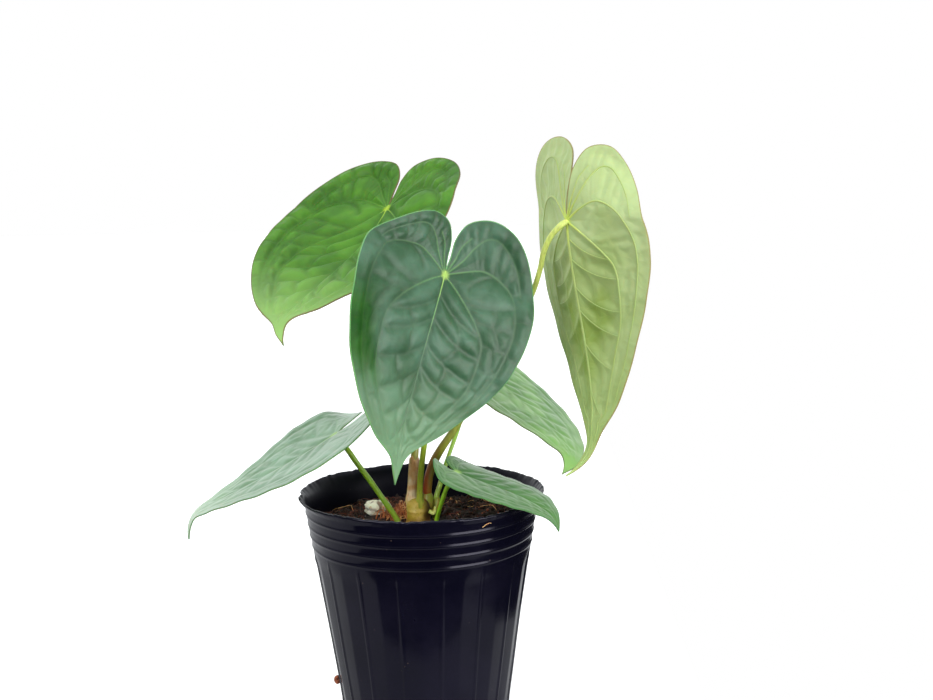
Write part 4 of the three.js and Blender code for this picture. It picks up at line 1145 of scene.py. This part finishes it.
def pot_push(point):
    """Moves one point of the spun pot, in millimetres, for ribs, rim and dents."""
    radius = math.hypot(point.x, point.y)
    if radius < 2:
        return point
    angle, height = math.atan2(point.y, point.x), point.z
    wall = radius > pot_radius(height) - WALL - 0.3
    push, lift = 0.0, 0.0
    if wall and RIB_FOOT < height < RIB_TOP + 1:
        above, below = height - RIB_FOOT, RIB_TOP - height
        sector = 2 * math.pi / RIB_COUNT
        off = abs(angle % sector - sector / 2)
        flat = (1 - (2 * off / sector) ** 2) * min(1.0, above / 12) * min(1.0, below / 6)
        fade = min(1.0, above / 4) * min(1.0, max(0.0, below / 1.2))
        push += RIB_RISE * fade * math.exp(-(off * radius / RIB_WIDTH) ** 2) - FLATTENING * radius * flat
    if height > POT_HEIGHT - FLARE_DEPTH + 0.2:
        flare = (height - (POT_HEIGHT - FLARE_DEPTH)) / FLARE_DEPTH
        front = max(0.0, -math.sin(angle))
        ease = front * front * (3 - 2 * front)
        crease = math.exp(-((abs(angle) - math.pi) / CREASE_WIDTH) ** 2)
        push -= flare * ((RIM_RADIUS - NECK_RADIUS) * FRONT_SHARE * ease + CREASE_DEPTH * crease)
        ragged = Vector((math.cos(angle), math.sin(angle), 0)) * 14
        push += flare * RAGGED * noise.noise(ragged + Vector((0, 0, height)))
        lift += flare * (0.25 * math.sin(3 * angle + 1) + 0.2 * math.sin(8 * angle)
                         + 0.5 * noise.noise(ragged * 1.7))
    if wall and 8 < height < 95:
        spot = Vector((math.cos(angle) * 2.2, math.sin(angle) * 2.2, height * 0.03))
        push += 0.35 * noise.noise(spot) - 0.2
    scale = (radius + push) / radius
    return Vector((point.x * scale, point.y * scale, height + lift))


SPIN_STEPS = 384
work = bmesh.new()
outline = [work.verts.new((radius * MM, 0, height * MM)) for radius, height in pot_outline()]
edges = [work.edges.new(pair) for pair in zip(outline, outline[1:])]
bmesh.ops.spin(work, geom=outline + edges, cent=(0, 0, 0), axis=(0, 0, 1), dvec=(0, 0, 0),
               angle=2 * math.pi, steps=SPIN_STEPS, use_merge=True, use_duplicate=False)
bmesh.ops.remove_doubles(work, verts=work.verts, dist=0.01 * MM)
bmesh.ops.recalc_face_normals(work, faces=work.faces)
for face in work.faces:
    centre = face.calc_center_median() / MM
    inner_wall = centre.z > 2 and math.hypot(centre.x, centre.y) < pot_radius(centre.z) - WALL / 2
    if inner_wall or (centre.z > POT_HEIGHT - 6 and face.normal.z > 0.2):
        face.material_index = 1
for vert in work.verts:
    vert.co = pot_push(vert.co / MM) * MM
bmesh.ops.recalc_face_normals(work, faces=work.faces)


def pot_material(name, density, rougher):
    paint = Paint(name, 0.2, IOR=density, Specular_Tint=(0.86, 0.84, 1.0, 1))
    smear = paint.noise(28, 5, 0.6)
    grains = paint.times(paint.ease(paint.cells(330), 0.03, 0.1, 1, 0),
                         paint.ease(paint.noise(90), 0.6, 0.7, 0, 0.8))
    base = paint.mix(paint.ease(smear, 0.3, 0.7), (5, 5, 16), (11, 10, 23))
    paint.set(Base_Color=paint.mix(grains, base, (110, 92, 80)),
              Roughness=paint.ease(smear, 0.3, 0.7, 0.12 + rougher, 0.24 + rougher))
    paint.relief(0.3, 0.0006, paint.maths("MULTIPLY_ADD", grains, 0.3, paint.noise(45)))
    return paint.made


pot_paints = [pot_material("black_nursery_plastic", 1.28, 0.0),
              pot_material("black_plastic_inside", 1.2, 0.2)]
finish_piece(work, "nursery_pot", ["pot"], pot_paints, weld=0)

# %% [markdown]
# ## Potting mix
# The mix is a bumpy surface of dark bark crumbs with red-brown coir strands on it and sticking
# up near the stem. The ground is a grid laid over the opening and down inside the wall. Crumbs
# are rough little balls made from one icosphere each, and strands are thin bent bars.

# %% Mix ground
MIX_LEVEL, MIX_HEAP, HEAP_X, HEAP_Y = 99.5, 3, 27, 14
MIX_EDGE, MIX_FOOT, MIX_GAP = 97, 3, 0.4
TOP_SHARE = 0.85


def mix_height(x, y):
    bumps = 0.7 * np.sin(x * 0.31 + 1) * np.cos(y * 0.27) + 0.5 * np.sin(x * 0.5 - y * 0.4)
    return MIX_LEVEL + bumps + MIX_HEAP * np.exp(-((x - HEAP_X) ** 2 + (y - HEAP_Y) ** 2) / 300)


def ground_place(row, column):
    """The first rows cover the top, and the others run down inside the wall."""
    angle = 2 * np.pi * column
    down = MIX_EDGE - np.maximum(row - TOP_SHARE, 0) / (1 - TOP_SHARE) * (MIX_EDGE - MIX_FOOT)
    radius = (pot_radius(down) - WALL - MIX_GAP) * np.minimum(row / TOP_SHARE, 1)
    x, y = radius * np.cos(angle), radius * np.sin(angle)
    rough = 0.25 * np.sin(2.1 * x + 1.3 * y) * np.sin(1.7 * y - 0.6 * x)
    rough += 0.2 * np.sin(3.7 * x) * np.sin(4.1 * y) - MIX_GAP
    height = np.where(row < TOP_SHARE, mix_height(x, y) + rough, down)
    return np.stack([x, y, height], 1), {}


def mix_material(name, dark, light, scale):
    paint = Paint(name, 0.88)
    crumb = paint.cells(scale, out=None)
    tone = paint.noise(scale * 1.7, 5)
    toned = paint.mix(paint.put("SeparateColor", crumb["Color"]), dark, light)
    paint.set(Base_Color=paint.mix(paint.ease(tone, 0.4, 0.7, 0, 0.7), toned, darker(dark, 0.5)),
              Roughness=paint.ease(tone, 0.3, 0.7, 0.75, 0.95))
    paint.relief(0.8, 0.001, paint.maths("MULTIPLY_ADD", crumb["Distance"], -0.8, tone))
    return paint.made


work = bmesh.new()
add_grid(work, 90, 160, ground_place)
close_up(work, 0.01)
ground_paint = mix_material("mix_ground", (18, 8, 6), (44, 20, 12), 340)
finish_piece(work, "potting_mix_ground", ["potting_mix"], [ground_paint])

# %% [markdown]
# Crumbs are scattered by a seeded rule. A spot too near a stalk, the stem or the pumice is drawn
# again, so that nothing grows through a crumb.

# %% Crumbs of bark
# The stem, its bud, two stalks and the pumice with its neighbours, as x, y and radius.
KEEP_OUT = [(-1.4, 0.2, 6.6), (6.6, 3.2, 3.4), (-11.2, 0, 2.2), (6.9, -6.4, 2.2), (-22.5, 19.5, 6.8),
            (-21.5, 13.5, 5.5), (-17, 13, 3.5)]
MIX_REACH = 53


def free_spot(rng, margin, outer):
    """A random spot on the mix, at least the margin away from what stands in it."""
    while True:
        reach, angle = math.sqrt(rng.uniform(0, outer ** 2)), rng.uniform(0, 2 * math.pi)
        x, y = reach * math.cos(angle), reach * math.sin(angle)
        if all(math.hypot(x - px, y - py) > keep + margin for px, py, keep in KEEP_OUT):
            return x, y


def roughen(rng, verts, amount):
    """Moves each point a little at random, by up to the amount in millimetres."""
    for vert in verts:
        vert.co += Vector((rng.uniform(-1, 1), rng.uniform(-1, 1), rng.uniform(-1, 1))) * amount * MM


def crumbs(name, seed, count, low, high, paint):
    """Rough lumps, half sunk in the mix."""
    rng = random.Random(seed)
    work = bmesh.new()
    for _ in range(count):
        size = rng.uniform(low, high)
        x, y = free_spot(rng, size, MIX_REACH - size)
        place = Vector((x, y, float(mix_height(x, y)) + rng.uniform(-0.3, 0.3) * size)) * MM
        turn = rng.uniform(0, 6.28)
        axis = Vector((rng.random(), rng.random(), rng.random() + 0.1))
        half_size = [size * rng.uniform(*span) * MM for span in ((0.8, 1.6), (0.6, 1.1), (0.4, 0.8))]
        shape = Matrix.Translation(place) @ Matrix.Rotation(turn, 4, axis) @ Matrix.Diagonal((*half_size, 1))
        made = bmesh.ops.create_icosphere(work, subdivisions=1, radius=1, matrix=shape)
        roughen(rng, made["verts"], size * 0.22)
    finish_piece(work, name, [], [paint], weld=0)


dark_paint = mix_material("bark_dark", (26, 12, 8), (62, 30, 18), 700)
red_paint = mix_material("bark_red", (96, 42, 24), (170, 92, 54), 600)
crumbs("potting_mix_dark_crumbs", 5, 1700, 0.5, 1.9, dark_paint)
crumbs("potting_mix_red_crumbs", 6, 170, 0.4, 1.4, red_paint)

# %% [markdown]
# Coir strands are bent, springy and orange-brown. Most lie in low loops on the mix. Some stand
# up in a tuft at the left of the stem.

# %% Coir strands
STRAND_POINTS = 13


def strand(rng, x, y, span, rise, heading):
    """The points of one bent strand whose ends are in the mix."""
    points = []
    for share in (-1, -0.5, 0, 0.5, 1):
        px = x + span * share * math.cos(heading) + rng.uniform(-1, 1) * span * 0.25
        py = y + span * share * math.sin(heading) + rng.uniform(-1, 1) * span * 0.25
        inward = min(1, MIX_REACH / math.hypot(px, py))
        px, py = px * inward, py * inward
        lift = -0.8 if abs(share) == 1 else rise * rng.uniform(0.5, 1.1)
        points.append((px, py, float(mix_height(px, py)) + lift))
    return points


def strands(name, seed, count, thickness, paint, spots):
    """Seeded strands. One that would pass through the stem, a stalk or the pumice is left out."""
    rng = random.Random(seed)
    lines = []
    for _ in range(count):
        x, y, span, rise = spots(rng)
        points = strand(rng, x, y, span, rise, rng.uniform(0, math.pi))
        line = through(points, np.linspace(0, 1, STRAND_POINTS))
        if all(np.hypot(line[:, 0] - px, line[:, 1] - py).min() > keep * 0.9 for px, py, keep in KEEP_OUT):
            size = rng.uniform(*thickness)
            lines.append((line, np.linspace(size, size * 0.6, STRAND_POINTS)))
    finish_piece(bars(name, lines, 1), name, [], [paint], weld=0)


def lying(rng):
    x, y = free_spot(rng, 1, 49)
    return x, y, rng.uniform(2, 7), rng.uniform(0.2, 2.2)


def tuft(rng):
    angle, reach = rng.uniform(1.7, 3.0), rng.uniform(9, 21)
    return reach * math.cos(angle), reach * math.sin(angle), rng.uniform(2, 5), rng.uniform(1.5, 7.5)


dull_paint = plain_material("coir_dull", (112, 50, 28), (66, 28, 16), 400, 0.7)
coir_paint = plain_material("coir_strand", (206, 124, 72), (150, 78, 42), 400, 0.6)
pale_paint = plain_material("coir_pale", (240, 188, 130), (206, 140, 84), 400, 0.6)
strands("potting_mix_coir", 11, 260, (0.10, 0.26), dull_paint, lying)
strands("potting_mix_pale_coir", 12, 40, (0.10, 0.2), pale_paint, lying)
strands("potting_mix_coir_tuft", 13, 90, (0.18, 0.42), coir_paint, tuft)
strands("potting_mix_pale_tuft", 14, 40, (0.14, 0.3), pale_paint, tuft)

# %% [markdown]
# A little of the mix has stuck to the pot: one strand on the upper rings and one crumb low on the
# left side. They are made in the same way as the rest.

# %% Mix on the pot
STUCK_STRAND = [(29.2, -48.2, 109.3), (30.6, -47.9, 110.4), (32.4, -47.3, 111.2), (33.4, -46.9, 111.0)]
STUCK_CRUMB, CRUMB_SIZE = Vector((-43.6, -3, 21)), (1.7, 1.5, 2.3)
line = through(STUCK_STRAND, np.linspace(0, 1, 12))
work = bars("stuck", [(line, np.full(12, 0.16))], 1)
finish_piece(work, "potting_mix_stuck_strand", [], [pale_paint], weld=0)

work = bmesh.new()
place = Matrix.Translation(STUCK_CRUMB * MM) @ Matrix.Diagonal((*(half * MM for half in CRUMB_SIZE), 1))
made = bmesh.ops.create_icosphere(work, subdivisions=3, radius=1, matrix=place)
roughen(random.Random(3), made["verts"], 0.12)
finish_piece(work, "potting_mix_stuck_crumb", [], [red_paint], weld=0)

# %% [markdown]
# The pumice is a cream lump with brown stains in its cracks. It starts as an icosphere and is
# pressed into the same lumps as its solid, with finer pits on top.

# %% Pumice piece
PUMICE_CENTRE = Vector((-22.5, 19.5, 102.6))
PUMICE_HALF_SIZE = (6.9, 4.7, 4.0)
PUMICE_TURN = (Matrix.Rotation(math.radians(14), 3, "Z") @ Matrix.Rotation(math.radians(-6), 3, "Y")
               @ Matrix.Rotation(math.radians(4), 3, "X"))
work = bmesh.new()
bmesh.ops.create_icosphere(work, subdivisions=5, radius=1)
pit = work.verts.layers.float.new("pit")
for vert in work.verts:
    x, y, z = vert.co
    lump = (1 + 0.13 * math.sin(4 * x + 1) * math.cos(3 * y) + 0.1 * math.sin(5 * z + 2 * x)
            - 0.14 * math.exp(-((x - 0.15) ** 2) / 0.03))
    fine = 0.16 * noise.noise(vert.co * 2.3) + 0.06 * noise.noise(vert.co * 6) - 0.03
    vert[pit] = lump
    pressed = Vector(place * half * (lump + fine) for place, half in zip(vert.co, PUMICE_HALF_SIZE))
    vert.co = (PUMICE_TURN @ pressed + PUMICE_CENTRE) * MM

paint = Paint("pumice_skin", 0.85, 0.05)
stain, pits = paint.noise(240, 5, 0.65), paint.cells(900)
skin = paint.mix(paint.ease(stain, 0.55, 0.66), (255, 250, 232), (210, 170, 120))
skin = paint.mix(paint.ease(paint.fact("pit"), 0.84, 0.95, 0.8, 0), skin, (110, 66, 36))
paint.set(Base_Color=paint.mix(paint.ease(pits, 0.05, 0.2, 0.5, 0), skin, (130, 96, 66)))
paint.relief(0.7, 0.0006, paint.maths("MULTIPLY_ADD", pits, 0.7, stain))
finish_piece(work, "pumice_lump", ["pumice_stone"], [paint.made], weld=0)

# %% [markdown]
# Last, the boxes of the solids and of the finished pieces are printed so that the two can be
# compared.

# %% Sizes and finish
seen_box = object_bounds()
for label, (low, high) in (("solids", cad_box), ("pieces", seen_box)):
    print(label, [round(value * 1000, 1) for value in low], [round(value * 1000, 1) for value in high])
